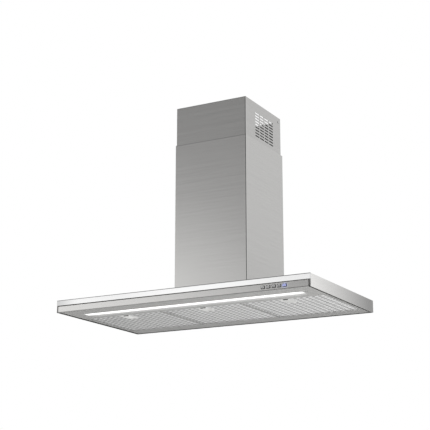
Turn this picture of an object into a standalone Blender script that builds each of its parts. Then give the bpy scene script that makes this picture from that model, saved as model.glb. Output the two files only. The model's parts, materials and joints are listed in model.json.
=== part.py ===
"""Wall chimney range hood, every physical piece as its own object.

Units are metres and Z is up. The wall is the plane Y = 0 and the room is on the -Y side.
Heights in this file are measured from the underside of the canopy. The root empty then
lowers everything, so that the world origin lies on the wall at the hanging rail.
"""

import math

import bmesh
import bpy
from mathutils import Vector

MM = 0.001

# Gaps
FACE_GAP = 0.3 * MM  # between pieces that touch
RUNNING_GAP = 0.4 * MM  # around a shaft that turns
SLIDE_GAP = 1.0 * MM  # between the two flue covers, each side

# Canopy
CANOPY_WIDTH = 900 * MM
CANOPY_DEPTH = 490 * MM
CANOPY_HEIGHT = 40 * MM
SKIN = 1.2 * MM  # top, front and rear sheet
SIDE_HEM = 2.4 * MM  # folded double edge of the side walls
EDGE_ROUND = 1.5 * MM
BAND_SHARE = 0.4375  # upper strip of the front, as a share of the height
BAND_RETURN = 7 * MM
SHADOW_GAP = 0.8 * MM  # open line between the band and the control strip
PANEL_GAP = 7 * MM  # open line beside and behind the underside panel
PANEL_FRONT_GAP = 3 * MM  # between the control strip and the underside panel

# Control strip
FASCIA_RECESS = 3 * MM
FASCIA_SHEET = 1.5 * MM
FASCIA_LEFT_GAP = 0.8 * MM  # the strip is pushed to the left
FASCIA_RIGHT_GAP = 5.6 * MM
FASCIA_LIFT = 0.4 * MM
FASCIA_RETURN = 10 * MM
CLIP_WIDTH = 22 * MM
CLIP_FROM_END = 50 * MM

# Keys
KEY_NAMES = ("button_off", "button_slow", "button_medium", "button_fast", "button_light")
KEY_PITCH = 17.8 * MM
KEY_WIDTH = 10.4 * MM
KEY_SHARE = 0.30  # key height as a share of the control strip
KEY_CORNER = 1.2 * MM
KEY_PROUD = 2.5 * MM
KEY_TRAVEL = 1.5 * MM
KEY_FLANGE = 1.0 * MM  # how far the stop flange reaches past the cap
KEY_FLANGE_THICK = 1.2 * MM
KEY_SIDE_GAP = 0.35 * MM
KEY_RING = 1.8 * MM  # dark ring seen around each cap
LAST_KEY_FROM_END = 84.3 * MM
GUIDE_THICK = 1.2 * MM
GUIDE_DEPTH = 12 * MM
GUIDE_MARGIN = 4 * MM
GUIDE_PLAY = 0.4 * MM  # above and below the stop flanges
BOARD_THICK = 1.6 * MM
SWITCH_SIZE = 6 * MM
SWITCH_HEIGHT = 4 * MM
LENS_INSET = 0.6 * MM  # from the cap's outline to the lit ring
LENS_RING = 1.3 * MM
LENS_THICK = 1.0 * MM
LENS_PROUD = 0.1 * MM

# Underside panel and light
PANEL_SHEET = 1.2 * MM
PANEL_LIFT = 1.0 * MM
PANEL_FLANGE = 10 * MM
LIGHT_FROM_FRONT = 84 * MM  # centre line of the light
LIGHT_WIDTH = 28 * MM
LIGHT_END_MARGIN = 59 * MM
DIFFUSER_THICK = 1.8 * MM
CHANNEL_SHEET = 1.2 * MM
CHANNEL_HEIGHT = 11 * MM
CHANNEL_WING = 6 * MM
STRIP_WIDTH = 12 * MM
STRIP_THICK = 1.6 * MM
LED_COUNT = 14
LED_SIZE = 3.5 * MM
LED_HEIGHT = 0.8 * MM
DRIVER_SIZE = (110 * MM, 34 * MM, 18 * MM)
DRIVER_FROM_CENTRE = 275 * MM
DRIVER_FROM_STRIP = 3 * MM

# Grease filters
FILTER_NAMES = ("left", "centre", "right")
FILTER_BAY_FRONT = 143 * MM  # from the front of the canopy to the filter opening
FILTER_BAY_REAR = 61 * MM  # from the wall to the filter opening
FILTER_BAY_SIDE = 14.6 * MM  # from the side of the canopy to the filter opening
FILTER_GAP = 1.0 * MM
FILTER_HEIGHT = 9 * MM
FILTER_SHEET = 1.2 * MM
FILTER_LIP = 3.5 * MM
FILTER_LIP_SHEET = 0.9 * MM
MESH_THICK = 2.0 * MM
HOOK_WIDTH = 20 * MM
HOOK_REACH = 7 * MM
HOOK_SHEET = 1.2 * MM
HOOK_SPREAD = 80 * MM
HANDLE_WIDTH = 36 * MM
HANDLE_DEPTH = 62 * MM
HANDLE_FROM_FRONT = 8.2 * MM
HANDLE_SHEET = 1.0 * MM
HANDLE_FLANGE = 2.4 * MM
HANDLE_FLANGE_SHEET = 0.7 * MM
HANDLE_TALL = 7.8 * MM
LATCH_WIDTH = 18 * MM
LATCH_SHEET = 1.4 * MM
LATCH_LEVEL = 3.6 * MM  # above the filter's lower face
LATCH_SHORT = 0.3 * MM  # from the tongue's tip to the edge of the opening
LATCH_REACH = 14 * MM  # into the handle cup
LATCH_TAB = 3.0 * MM
LATCH_SLOT_GAP = 0.4 * MM

# Flue covers
FLUE_SHEET = 1.0 * MM
FLUE_BEND = 2.4 * MM
LOWER_WIDTH = 268 * MM
LOWER_DEPTH = 277 * MM
LOWER_TOP = 579 * MM
LOWER_RETURN = 18 * MM
UPPER_FRONT_GAP = 2 * MM
UPPER_REAR = 11 * MM  # from the wall to the rear edge of the upper cover
UPPER_LENGTH = 420 * MM
UPPER_TOP = 712 * MM
SLOT_COLUMNS = 4
SLOT_ROWS = 9
SLOT_LENGTH = 30 * MM
SLOT_HEIGHT = 4.6 * MM
SLOT_CORNER = 1.4 * MM
SLOT_COLUMN_PITCH = 34.6 * MM
SLOT_ROW_PITCH = 10 * MM
SLOTS_BELOW_TOP = 36 * MM  # from the top edge to the first row
SLOTS_FROM_WALL = 137 * MM  # centre of the slots
UPPER_BRACKET_TALL = 140 * MM
UPPER_BRACKET_BELOW = 6 * MM
UPPER_BRACKET_SHEET = 1.5 * MM
BRACKET_STEP = 15 * MM
BRACKET_EAR = 24 * MM
FOOT_LENGTH = 45 * MM
FOOT_LEG = 12 * MM
FOOT_SHEET = 1.5 * MM
FOOT_FROM_WALL = 14 * MM
SCREW_HOLE = 2.4 * MM
SCREW_SHANK = 2.0 * MM
SCREW_HEAD = 4.0 * MM
SCREW_HEAD_TALL = 1.6 * MM
SCREW_LENGTH = 6 * MM

# Blower box, hung on the wall
BOX_SHEET = 1.0 * MM
BOX_SIDE_GAP = 12 * MM  # to the inner face of the upper cover
BOX_FROM_WALL = 14 * MM
BOX_TOP = 300 * MM
BOX_FLANGE = 9 * MM
INLET_MARGIN = 12 * MM  # how far the canopy's air hole stays inside the box
RAIL_SIDE_GAP = 11 * MM  # to the rear returns of the lower cover
RAIL_TALL = 62 * MM
RAIL_SHEET = 2.0 * MM
RAIL_TOP_BELOW_BOX = 4 * MM
RAIL_SCREW_SPREAD = 92 * MM
RAIL_SCREW_HOLE = 3.2 * MM
HANG_SPREAD = 60 * MM
HANG_WIDTH = 24 * MM
HANG_LIP = 8 * MM
HANG_BEHIND_WALL = 5 * MM
HANG_SLOT_DROP = 12 * MM

# Outlet collar and its non-return flaps
COLLAR_RADIUS = 74.5 * MM
COLLAR_WALL = 2.0 * MM
COLLAR_TALL = 45 * MM
COLLAR_BELOW = 9 * MM  # how far the spigot plugs into the casing neck
COLLAR_PLUG_GAP = 0.8 * MM
COLLAR_FLANGE = 13 * MM
COLLAR_FLANGE_THICK = 2.0 * MM
LEDGE_REACH = 2.5 * MM
LEDGE_THICK = 2.0 * MM
LEDGE_ABOVE_FLANGE = 5 * MM
BAR_HALF = 8 * MM  # bar across the collar, under the two axles
FLAP_THICK = 1.5 * MM
FLAP_EDGE_GAP = 1.2 * MM
FLAP_AXIS = 5 * MM  # from the collar's centre
AXLE_RADIUS = 1.5 * MM
AXLE_IN_WALL = 1.6 * MM
ROUND_STEPS = 36

# Blower
WHEEL_RADIUS = 66 * MM
WHEEL_RIM = 12 * MM
WHEEL_RING = 2.5 * MM
WHEEL_DISC = 2.0 * MM
HUB_RADIUS = 12 * MM
HUB_HALF = 9 * MM
BLADE_COUNT = 26
BLADE_THICK = 1.4 * MM
BLADE_ANGLE = math.radians(38)
CASING_WALL = 2.0 * MM
CASING_SIDE_GAP = 6 * MM  # wheel to casing wall, along the axis
CUTOFF_GAP = 14 * MM  # wheel to casing at the tongue
SCROLL_GROWTH = 22 * MM  # how far the casing opens from the tongue to the outlet
CASING_LIFT = 16 * MM  # casing above the canopy top
INLET_RADIUS = 58 * MM
MOUTH_WALL = 1.5 * MM
MOUTH_FLARE = 7 * MM
MOTOR_RADIUS = 42 * MM
MOTOR_LENGTH = 64 * MM
MOTOR_PAST_CASING = 10 * MM
SHAFT_RADIUS = 4 * MM
SHAFT_IN_MOTOR = 30 * MM
SPIDER_THICK = 3 * MM
SPIDER_HUB = 34 * MM
SPIDER_ARM = 12 * MM
SPIDER_REACH = 18 * MM  # past the inlet
SPIDER_ARMS = 3
ELECTRONICS_GAP = 12 * MM  # to the casing
ELECTRONICS_DEPTH = 66 * MM
ELECTRONICS_TALL = 96 * MM
ELECTRONICS_LID = 2 * MM
CAPACITOR_RADIUS = 15 * MM
CAPACITOR_TALL = 58 * MM
CAPACITOR_FROM_WALL = 60 * MM
CAPACITOR_LEVEL = 70 * MM
GLAND_RADIUS = 8 * MM
GLAND_BORE = 4.5 * MM
GLAND_FLANGE = 12 * MM
GLAND_FROM_WALL = 40 * MM
GLAND_FROM_SIDE = 24 * MM
GLAND_TALL = 12 * MM

# Inner wiring
CONTROL_CABLE = 5 * MM
LIGHT_CABLE = 4 * MM

# Worked out from the sizes above
HALF_WIDTH = CANOPY_WIDTH / 2
FRONT = -CANOPY_DEPTH
CANOPY_TOP_INNER = CANOPY_HEIGHT - SKIN
BAND_BOTTOM = CANOPY_HEIGHT * (1 - BAND_SHARE)
FASCIA_TOP = BAND_BOTTOM - SHADOW_GAP
FASCIA_FACE = FRONT + FASCIA_RECESS
FASCIA_BACK = FASCIA_FACE + FASCIA_SHEET
FASCIA_LEFT = -(HALF_WIDTH - SIDE_HEM - FASCIA_LEFT_GAP)
FASCIA_RIGHT = HALF_WIDTH - SIDE_HEM - FASCIA_RIGHT_GAP
KEY_LEVEL = (FASCIA_LIFT + FASCIA_TOP) / 2
KEY_HEIGHT = KEY_SHARE * (FASCIA_TOP - FASCIA_LIFT)
LAST_KEY = HALF_WIDTH - LAST_KEY_FROM_END
GUIDE_FRONT = FASCIA_BACK + FACE_GAP
GUIDE_BACK = GUIDE_FRONT + GUIDE_THICK
GUIDE_HALF = KEY_HEIGHT / 2 + KEY_FLANGE + GUIDE_PLAY + GUIDE_THICK
GUIDE_LOW = KEY_LEVEL - GUIDE_HALF
GUIDE_HIGH = KEY_LEVEL + GUIDE_HALF
KEY_BACK = GUIDE_BACK + FACE_GAP + KEY_FLANGE_THICK
SWITCH_FACE = KEY_BACK + KEY_TRAVEL + FACE_GAP
BOARD_FRONT = SWITCH_FACE + SWITCH_HEIGHT
PANEL_TOP = PANEL_LIFT + PANEL_SHEET
PANEL_HALF = HALF_WIDTH - SIDE_HEM - PANEL_GAP
PANEL_FRONT = FASCIA_BACK + PANEL_FRONT_GAP
PANEL_REAR = -(SKIN + PANEL_GAP)
LIGHT_Y = FRONT + LIGHT_FROM_FRONT
LIGHT_HALF = HALF_WIDTH - LIGHT_END_MARGIN
BAY_FRONT = FRONT + FILTER_BAY_FRONT
BAY_REAR = -FILTER_BAY_REAR
BAY_HALF = HALF_WIDTH - FILTER_BAY_SIDE
FILTER_PITCH = (2 * BAY_HALF - FILTER_GAP) / len(FILTER_NAMES)
FILTER_WIDTH = FILTER_PITCH - FILTER_GAP
FILTER_LOW = PANEL_LIFT
FILTER_HIGH = FILTER_LOW + FILTER_HEIGHT
FILTER_FRONT = BAY_FRONT + FILTER_GAP * 0.8
FILTER_REAR = BAY_REAR - FILTER_GAP
HINGE_LEVEL = PANEL_LIFT + PANEL_SHEET / 2
MESH_LOW = FILTER_LOW + FILTER_LIP_SHEET + FACE_GAP
MESH_HIGH = MESH_LOW + MESH_THICK
FLUE_LOW = CANOPY_HEIGHT + FACE_GAP
LOWER_FRONT = -LOWER_DEPTH
UPPER_WIDTH = LOWER_WIDTH - 2 * (FLUE_SHEET + SLIDE_GAP)
UPPER_FRONT = LOWER_FRONT + FLUE_SHEET + UPPER_FRONT_GAP
UPPER_INNER = UPPER_WIDTH / 2 - FLUE_SHEET
BOX_HALF = UPPER_INNER - BOX_SIDE_GAP
BOX_REAR = -BOX_FROM_WALL
BOX_FRONT = UPPER_FRONT + FLUE_SHEET + BOX_SIDE_GAP
BOX_CENTRE = (BOX_FRONT + BOX_REAR) / 2
RAIL_WIDTH = LOWER_WIDTH - 2 * (LOWER_RETURN + RAIL_SIDE_GAP)
HANG_LEVEL = BOX_TOP - RAIL_TOP_BELOW_BOX - RAIL_TALL / 2  # the world origin is at this height, on the wall
AIR_HALF = BOX_HALF - BOX_FLANGE - FACE_GAP
AIR_FRONT = BOX_FRONT + BOX_FLANGE + FACE_GAP
AIR_REAR = BOX_REAR - BOX_FLANGE - INLET_MARGIN
COLLAR_SEAT = BOX_TOP + FACE_GAP
COLLAR_INNER = COLLAR_RADIUS - COLLAR_WALL
LEDGE_TOP = COLLAR_SEAT + COLLAR_FLANGE_THICK + LEDGE_ABOVE_FLANGE
FLAP_LEVEL = LEDGE_TOP + FACE_GAP + FLAP_THICK / 2
CASING_HALF = COLLAR_RADIUS + COLLAR_PLUG_GAP + CASING_WALL
NECK_WIDTH = 2 * CASING_HALF
WHEEL_HALF_WIDTH = CASING_HALF - CASING_WALL - CASING_SIDE_GAP
MOTOR_OUTER = -CASING_HALF - MOTOR_PAST_CASING
MOTOR_INNER = MOTOR_OUTER + MOTOR_LENGTH
CUTOFF_RADIUS = WHEEL_RADIUS + CUTOFF_GAP
OUTLET_RADIUS = CUTOFF_RADIUS + SCROLL_GROWTH
AXIS_Y = BOX_CENTRE + (OUTLET_RADIUS - CUTOFF_RADIUS) / 2
COLLAR_Y = AXIS_Y - OUTLET_RADIUS + NECK_WIDTH / 2
AXIS_Z = CANOPY_HEIGHT + CASING_LIFT + CUTOFF_RADIUS + SCROLL_GROWTH * 2 / 3
CASING_TOP = BOX_TOP - BOX_SHEET - FACE_GAP


# Small tools


def clear_scene():
    for obj in list(bpy.data.objects):
        bpy.data.objects.remove(obj, do_unlink=True)


def make_material(name, color, roughness, metallic):
    mat = bpy.data.materials.new(name)
    mat.use_nodes = True
    shader = mat.node_tree.nodes["Principled BSDF"]
    shader.inputs["Base Color"].default_value = (*color, 1.0)
    shader.inputs["Roughness"].default_value = roughness
    shader.inputs["Metallic"].default_value = metallic
    mat.diffuse_color = (*color, 1.0)
    return mat


def box(low, high):
    """A box between two corners."""
    bm = bmesh.new()
    bmesh.ops.create_cube(bm, size=1.0)
    low, high = Vector(low), Vector(high)
    bmesh.ops.scale(bm, vec=high - low, verts=bm.verts)
    bmesh.ops.translate(bm, vec=(low + high) / 2, verts=bm.verts)
    return bm


def merged(*shapes):
    """Several shapes in one mesh; they stay separate bodies."""
    whole = bmesh.new()
    for shape in shapes:
        spare = bpy.data.meshes.new("spare")
        shape.to_mesh(spare)
        whole.from_mesh(spare)
        bpy.data.meshes.remove(spare)
        shape.free()
    return whole


PLACES = {
    "X": lambda a, b, along: (along, a, b),
    "Y": lambda a, b, along: (a, along, b),
    "Z": lambda a, b, along: (a, b, along),
}


def prism(outline, axis, start, end):
    """A closed outline pushed along an axis. Outlines are (y, z), (x, z) or (x, y)."""
    bm = bmesh.new()
    place = PLACES[axis]
    near = [bm.verts.new(place(a, b, start)) for a, b in outline]
    far = [bm.verts.new(place(a, b, end)) for a, b in outline]
    bm.faces.new(near)
    bm.faces.new(far)
    count = len(outline)
    for i in range(count):
        j = (i + 1) % count
        bm.faces.new((near[i], near[j], far[j], far[i]))
    bmesh.ops.recalc_face_normals(bm, faces=bm.faces)
    return bm


def hollow_prism(outer, width, axis, start, end):
    """A rectangular ring about the axis, with its outer half sizes and the width of its band."""
    bm = bmesh.new()
    place = PLACES[axis]
    inner = (outer[0] - width, outer[1] - width)
    loops = [
        [bm.verts.new(place(a, b, along)) for a, b in rectangle(*half)]
        for half, along in ((outer, start), (outer, end), (inner, end), (inner, start))
    ]
    for here, there in zip(loops, loops[1:] + loops[:1], strict=True):
        for i in range(4):
            j = (i + 1) % 4
            bm.faces.new((here[i], here[j], there[j], there[i]))
    bmesh.ops.recalc_face_normals(bm, faces=bm.faces)
    return bm


def rectangle(half_a, half_b, centre=(0, 0)):
    a, b = centre
    signs = ((-1, -1), (1, -1), (1, 1), (-1, 1))
    return [(a + sign_a * half_a, b + sign_b * half_b) for sign_a, sign_b in signs]


def cut_corners(half_a, half_b, corner, centre=(0, 0)):
    """A rectangle with its corners cut at 45 degrees."""
    a, b = centre
    points = []
    for sign_a, sign_b in ((1, 1), (-1, 1), (-1, -1), (1, -1)):
        first = (a + sign_a * half_a, b + sign_b * (half_b - corner))
        second = (a + sign_a * (half_a - corner), b + sign_b * half_b)
        points += [first, second] if sign_a * sign_b > 0 else [second, first]
    return points


def circle(radius, centre=(0, 0), steps=ROUND_STEPS):
    a, b = centre
    turns = [i * math.tau / steps for i in range(steps)]
    return [(a + radius * math.cos(turn), b + radius * math.sin(turn)) for turn in turns]


def lathe(profile, axis, steps=ROUND_STEPS):
    """A closed profile of (radius, along) points turned about an axis through the origin."""
    bm = bmesh.new()
    place = PLACES[axis]
    rings = []
    for i in range(steps):
        turn = i * math.tau / steps
        rings.append([bm.verts.new(place(r * math.cos(turn), r * math.sin(turn), h)) for r, h in profile])
    count = len(profile)
    for i in range(steps):
        here, there = rings[i], rings[(i + 1) % steps]
        for j in range(count):
            k = (j + 1) % count
            bm.faces.new((here[j], here[k], there[k], there[j]))
    bmesh.ops.remove_doubles(bm, verts=bm.verts, dist=0.01 * MM)
    bmesh.ops.recalc_face_normals(bm, faces=bm.faces)
    return bm


def bent_sheet(path, thickness, bend, steps=3):
    """Outline of a sheet whose drawn face follows the path and whose body is on its left."""
    points = [Vector(point) for point in path]
    drawn, offset = [], []
    last = len(points) - 1
    for i, corner in enumerate(points):
        before = (corner - points[i - 1]).normalized() if i else None
        after = (points[i + 1] - corner).normalized() if i < last else None
        if before is None or after is None:
            run = after or before
            left = Vector((-run.y, run.x))
            drawn.append(corner)
            offset.append(corner + left * thickness)
            continue
        turn = before.x * after.y - before.y * after.x
        angle = before.angle(after)
        side = 1 if turn > 0 else -1
        radius = bend if side > 0 else bend - thickness
        normal = Vector((-before.y, before.x)) * side
        centre = corner - before * radius * math.tan(angle / 2) + normal * radius
        for step in range(steps + 1):
            part = side * angle * step / steps
            spoke = -normal
            spoke = Vector((
                spoke.x * math.cos(part) - spoke.y * math.sin(part),
                spoke.x * math.sin(part) + spoke.y * math.cos(part),
            ))
            drawn.append(centre + spoke * radius)
            offset.append(centre + spoke * (radius - side * thickness))
    return [tuple(point) for point in drawn + offset[::-1]]


def bevel_edges(bm, width, segments, wanted):
    """Rounds the edges for which wanted(middle, direction) is true."""
    edges = []
    for edge in bm.edges:
        a, b = (vert.co for vert in edge.verts)
        if wanted((a + b) / 2, (b - a).normalized()):
            edges.append(edge)
    bmesh.ops.bevel(bm, geom=edges, offset=width, segments=segments, profile=0.5, affect="EDGES")


def shifted(bm, by):
    bmesh.ops.translate(bm, vec=by, verts=bm.verts)
    return bm


class Hood:
    """Adds objects under the root empty and keeps track of materials."""

    def __init__(self):
        self.root = bpy.data.objects.new("hood_frame", None)
        self.root.location = (0, 0, -HANG_LEVEL)
        bpy.context.collection.objects.link(self.root)
        self.steel = make_material("brushed_steel", (0.62, 0.62, 0.61), 0.34, 1.0)
        self.bright = make_material("polished_steel", (0.80, 0.80, 0.80), 0.16, 1.0)
        self.zinc = make_material("zinc_sheet", (0.55, 0.56, 0.57), 0.45, 1.0)
        self.aluminium = make_material("aluminium", (0.66, 0.66, 0.66), 0.38, 1.0)
        self.opal = make_material("opal_plastic", (0.95, 0.95, 0.93), 0.35, 0.0)
        self.black = make_material("black_plastic", (0.03, 0.03, 0.03), 0.45, 0.0)
        self.paint = make_material("black_paint", (0.03, 0.03, 0.03), 0.6, 0.0)
        self.grey = make_material("grey_plastic", (0.32, 0.33, 0.34), 0.5, 0.0)
        self.board = make_material("circuit_board", (0.04, 0.16, 0.07), 0.5, 0.0)
        self.light_board = make_material("light_board", (0.85, 0.85, 0.82), 0.5, 0.0)
        self.blue = make_material("blue_lens", (0.25, 0.32, 0.75), 0.2, 0.0)
        self.winding = make_material("motor_steel", (0.30, 0.30, 0.31), 0.5, 1.0)
        self.cable = make_material("cable_sheath", (0.05, 0.05, 0.05), 0.6, 0.0)

    def empty(self, name, location, parent=None):
        obj = bpy.data.objects.new(name, None)
        obj.location = location
        obj.parent = parent or self.root
        bpy.context.collection.objects.link(obj)
        return obj

    def add(self, name, bm, mat, at=(0, 0, 0), parent=None, smooth=None):
        """An object whose origin is at a point given in the parent's frame, as the mesh is."""
        shifted(bm, -Vector(at))
        mesh = bpy.data.meshes.new(name)
        bm.to_mesh(mesh)
        bm.free()
        if smooth:
            mesh.shade_smooth()
            mesh.set_sharp_from_angle(angle=math.radians(smooth))
        obj = bpy.data.objects.new(name, mesh)
        mesh.materials.append(mat)
        obj.location = at
        obj.parent = parent or self.root
        bpy.context.collection.objects.link(obj)
        return obj

    def tool(self, obj, bm, operation):
        """Cuts a shape from an object, or joins it on. The shape is in the frame of the object's parent."""
        shifted(bm, -obj.location)
        mesh = bpy.data.meshes.new(obj.name + "_tool")
        bm.to_mesh(mesh)
        bm.free()
        helper = bpy.data.objects.new(f"{obj.name}_tool_{len(obj.modifiers)}", mesh)
        helper.parent = obj
        helper.hide_render = True
        helper.display_type = "WIRE"
        bpy.context.collection.objects.link(helper)
        modifier = obj.modifiers.new(operation.lower(), "BOOLEAN")
        modifier.operation = operation
        modifier.solver = "EXACT"
        modifier.object = helper

    def cut(self, obj, bm):
        self.tool(obj, bm, "DIFFERENCE")

    def join(self, obj, bm):
        self.tool(obj, bm, "UNION")


# Canopy


def canopy_shell(hood):
    bm = box((-HALF_WIDTH, FRONT, 0), (HALF_WIDTH, 0, CANOPY_HEIGHT))

    def outer_edge(middle, run):
        top = middle.z > CANOPY_TOP_INNER
        front_corner = abs(run.z) > 0.9 and middle.y < FRONT / 2
        return top or front_corner

    bevel_edges(bm, EDGE_ROUND, 2, outer_edge)
    shell = hood.add("canopy_shell", bm, hood.steel, smooth=50)
    inner_half = HALF_WIDTH - SIDE_HEM
    below = -5 * MM
    band_back = FRONT + BAND_RETURN
    outline = [
        (-SKIN, below), (FRONT + below, below), (FRONT + below, BAND_BOTTOM), (band_back, BAND_BOTTOM),
        (band_back, BAND_BOTTOM + SKIN), (FRONT + SKIN, BAND_BOTTOM + SKIN),
        (FRONT + SKIN, CANOPY_TOP_INNER), (-SKIN, CANOPY_TOP_INNER),
    ]
    hood.cut(shell, prism(outline, "X", -inner_half, inner_half))
    through = 5 * MM
    hood.cut(shell, box(
        (-AIR_HALF, AIR_FRONT, CANOPY_TOP_INNER - through),
        (AIR_HALF, AIR_REAR, CANOPY_HEIGHT + through),
    ))
    return shell


def underside_panel(hood):
    bm = box((-PANEL_HALF, PANEL_FRONT, PANEL_LIFT), (PANEL_HALF, PANEL_REAR, PANEL_LIFT + PANEL_FLANGE))
    panel = hood.add("underside_panel", bm, hood.steel)
    over = 5 * MM
    hood.cut(panel, box(
        (-PANEL_HALF + PANEL_SHEET, PANEL_FRONT - over, PANEL_TOP),
        (PANEL_HALF - PANEL_SHEET, PANEL_REAR - PANEL_SHEET, PANEL_LIFT + PANEL_FLANGE + over),
    ))
    bay = box((-BAY_HALF, BAY_FRONT, PANEL_LIFT - over), (BAY_HALF, BAY_REAR, PANEL_TOP + over))
    half = LIGHT_HALF + FACE_GAP
    slot = box(
        (-half, LIGHT_Y - LIGHT_WIDTH / 2 - FACE_GAP, PANEL_LIFT - over),
        (half, LIGHT_Y + LIGHT_WIDTH / 2 + FACE_GAP, PANEL_TOP + over),
    )
    hood.cut(panel, merged(bay, slot))


def control_fascia(hood):
    path = [
        (FASCIA_FACE + FASCIA_SHEET + FASCIA_RETURN, FASCIA_TOP),
        (FASCIA_FACE, FASCIA_TOP),
        (FASCIA_FACE, FASCIA_LIFT),
    ]
    outline = bent_sheet(path, FASCIA_SHEET, FASCIA_SHEET + 0.4 * MM, 2)
    strip = prism(outline, "X", FASCIA_LEFT, FASCIA_RIGHT)
    fascia = hood.add("control_fascia", strip, hood.steel, smooth=50)
    over = 4 * MM
    hood.cut(fascia, key_holes(KEY_RING, FASCIA_FACE - over, FASCIA_BACK + over / 4))


def fascia_clips(hood):
    """Angle clips that hang the control strip from the canopy's top."""
    front = FASCIA_BACK + 4 * MM
    back = front + FASCIA_RETURN
    low = FASCIA_TOP + FACE_GAP
    high = CANOPY_TOP_INNER - FACE_GAP
    path = [(front, low), (back, low), (back, high), (front, high)]
    for middle, name in ((FASCIA_LEFT + CLIP_FROM_END, "left"), (FASCIA_RIGHT - CLIP_FROM_END, "right")):
        outline = bent_sheet(path, SKIN, SKIN + 0.6 * MM, 2)
        bm = prism(outline, "X", middle - CLIP_WIDTH / 2, middle + CLIP_WIDTH / 2)
        hood.add(f"fascia_clip_{name}", bm, hood.zinc)


def key_x(i):
    return LAST_KEY - (len(KEY_NAMES) - 1 - i) * KEY_PITCH


def key_holes(margin, start, end):
    """A cutter for all the keys, a margin larger than their caps."""
    half_a = KEY_WIDTH / 2 + margin
    half_b = KEY_HEIGHT / 2 + margin
    holes = [
        prism(cut_corners(half_a, half_b, KEY_CORNER, (key_x(i), KEY_LEVEL)), "Y", start, end)
        for i in range(len(KEY_NAMES))
    ]
    return merged(*holes)


def key_guide(hood):
    """Black tray behind the control strip, in which the keys slide."""
    low_x = key_x(0) - KEY_WIDTH / 2 - KEY_FLANGE - GUIDE_MARGIN
    high_x = LAST_KEY + KEY_WIDTH / 2 + KEY_FLANGE + GUIDE_MARGIN
    bm = box((low_x, GUIDE_FRONT, GUIDE_LOW), (high_x, GUIDE_FRONT + GUIDE_DEPTH, GUIDE_HIGH))
    guide = hood.add("key_guide", bm, hood.black)
    over = 4 * MM
    wall = GUIDE_THICK
    hood.cut(guide, box(
        (low_x + wall, GUIDE_BACK, GUIDE_LOW + wall),
        (high_x - wall, GUIDE_FRONT + GUIDE_DEPTH + over, GUIDE_HIGH - wall),
    ))
    hood.cut(guide, key_holes(KEY_SIDE_GAP, GUIDE_FRONT - over, GUIDE_BACK + over / 4))
    inside = wall + FACE_GAP
    bm = box(
        (low_x + inside, BOARD_FRONT, GUIDE_LOW + inside),
        (high_x - inside, BOARD_FRONT + BOARD_THICK, GUIDE_HIGH - inside),
    )
    board = hood.add("control_board", bm, hood.board)
    switches = [
        box(
            (key_x(i) - SWITCH_SIZE / 2, SWITCH_FACE, KEY_LEVEL - SWITCH_SIZE / 2),
            (key_x(i) + SWITCH_SIZE / 2, BOARD_FRONT + BOARD_THICK / 2, KEY_LEVEL + SWITCH_SIZE / 2),
        )
        for i in range(len(KEY_NAMES))
    ]
    hood.join(board, merged(*switches))


def keys(hood):
    """Keys in the frame of their own empties, whose origins are on the strip's face."""
    front = -KEY_PROUD
    back = KEY_BACK - FASCIA_FACE
    half_a, half_b = KEY_WIDTH / 2, KEY_HEIGHT / 2
    for i, name in enumerate(KEY_NAMES):
        holder = hood.empty(name + "_travel", (key_x(i), FASCIA_FACE, KEY_LEVEL))
        cap = prism(cut_corners(half_a, half_b, KEY_CORNER), "Y", front, back)
        key = hood.add(name, cap, hood.steel, parent=holder)
        flange = rectangle(half_a + KEY_FLANGE, half_b + KEY_FLANGE)
        hood.join(key, prism(flange, "Y", back - KEY_FLANGE_THICK, back))
        if name == KEY_NAMES[-1]:
            outer = (half_a - LENS_INSET, half_b - LENS_INSET)
            pocket_depth = LENS_THICK + FACE_GAP
            hood.cut(key, hollow_prism(outer, LENS_RING, "Y", front - pocket_depth, front + pocket_depth))
            fit = FACE_GAP / 2
            fitted = (outer[0] - fit, outer[1] - fit)
            lens = hollow_prism(fitted, LENS_RING - 2 * fit, "Y", front - LENS_PROUD, front + LENS_THICK)
            hood.add("button_light_lens", lens, hood.blue, parent=holder)


# Light


def light(hood):
    half_y = LIGHT_WIDTH / 2
    diffuser_top = PANEL_LIFT + DIFFUSER_THICK
    bm = box((-LIGHT_HALF, LIGHT_Y - half_y, PANEL_LIFT), (LIGHT_HALF, LIGHT_Y + half_y, diffuser_top))
    hood.add("light_diffuser", bm, hood.opal)
    low = diffuser_top + FACE_GAP
    high = low + CHANNEL_HEIGHT
    wing = half_y + CHANNEL_WING
    wall = CHANNEL_SHEET
    outline = [
        (-wing, low), (-half_y + wall, low), (-half_y + wall, high - wall), (half_y - wall, high - wall),
        (half_y - wall, low), (wing, low), (wing, low + wall), (half_y, low + wall), (half_y, high),
        (-half_y, high), (-half_y, low + wall), (-wing, low + wall),
    ]
    outline = [(LIGHT_Y + a, b) for a, b in outline]
    hood.add("light_channel", prism(outline, "X", -LIGHT_HALF, LIGHT_HALF), hood.aluminium)
    strip_high = high - wall - FACE_GAP
    strip_low = strip_high - STRIP_THICK
    half_strip = LIGHT_HALF - 8 * MM
    strip_front = LIGHT_Y - STRIP_WIDTH / 2
    strip_back = LIGHT_Y + STRIP_WIDTH / 2
    board = box((-half_strip, strip_front, strip_low), (half_strip, strip_back, strip_high))
    strip = hood.add("light_strip", board, hood.light_board)
    pitch = 2 * half_strip / LED_COUNT
    chips = []
    for i in range(LED_COUNT):
        x = -half_strip + (i + 0.5) * pitch
        size = LED_SIZE / 2
        chips.append(box(
            (x - size, LIGHT_Y - size, strip_low - LED_HEIGHT),
            (x + size, LIGHT_Y + size, strip_low + STRIP_THICK / 2),
        ))
    hood.join(strip, merged(*chips))
    return high


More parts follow.
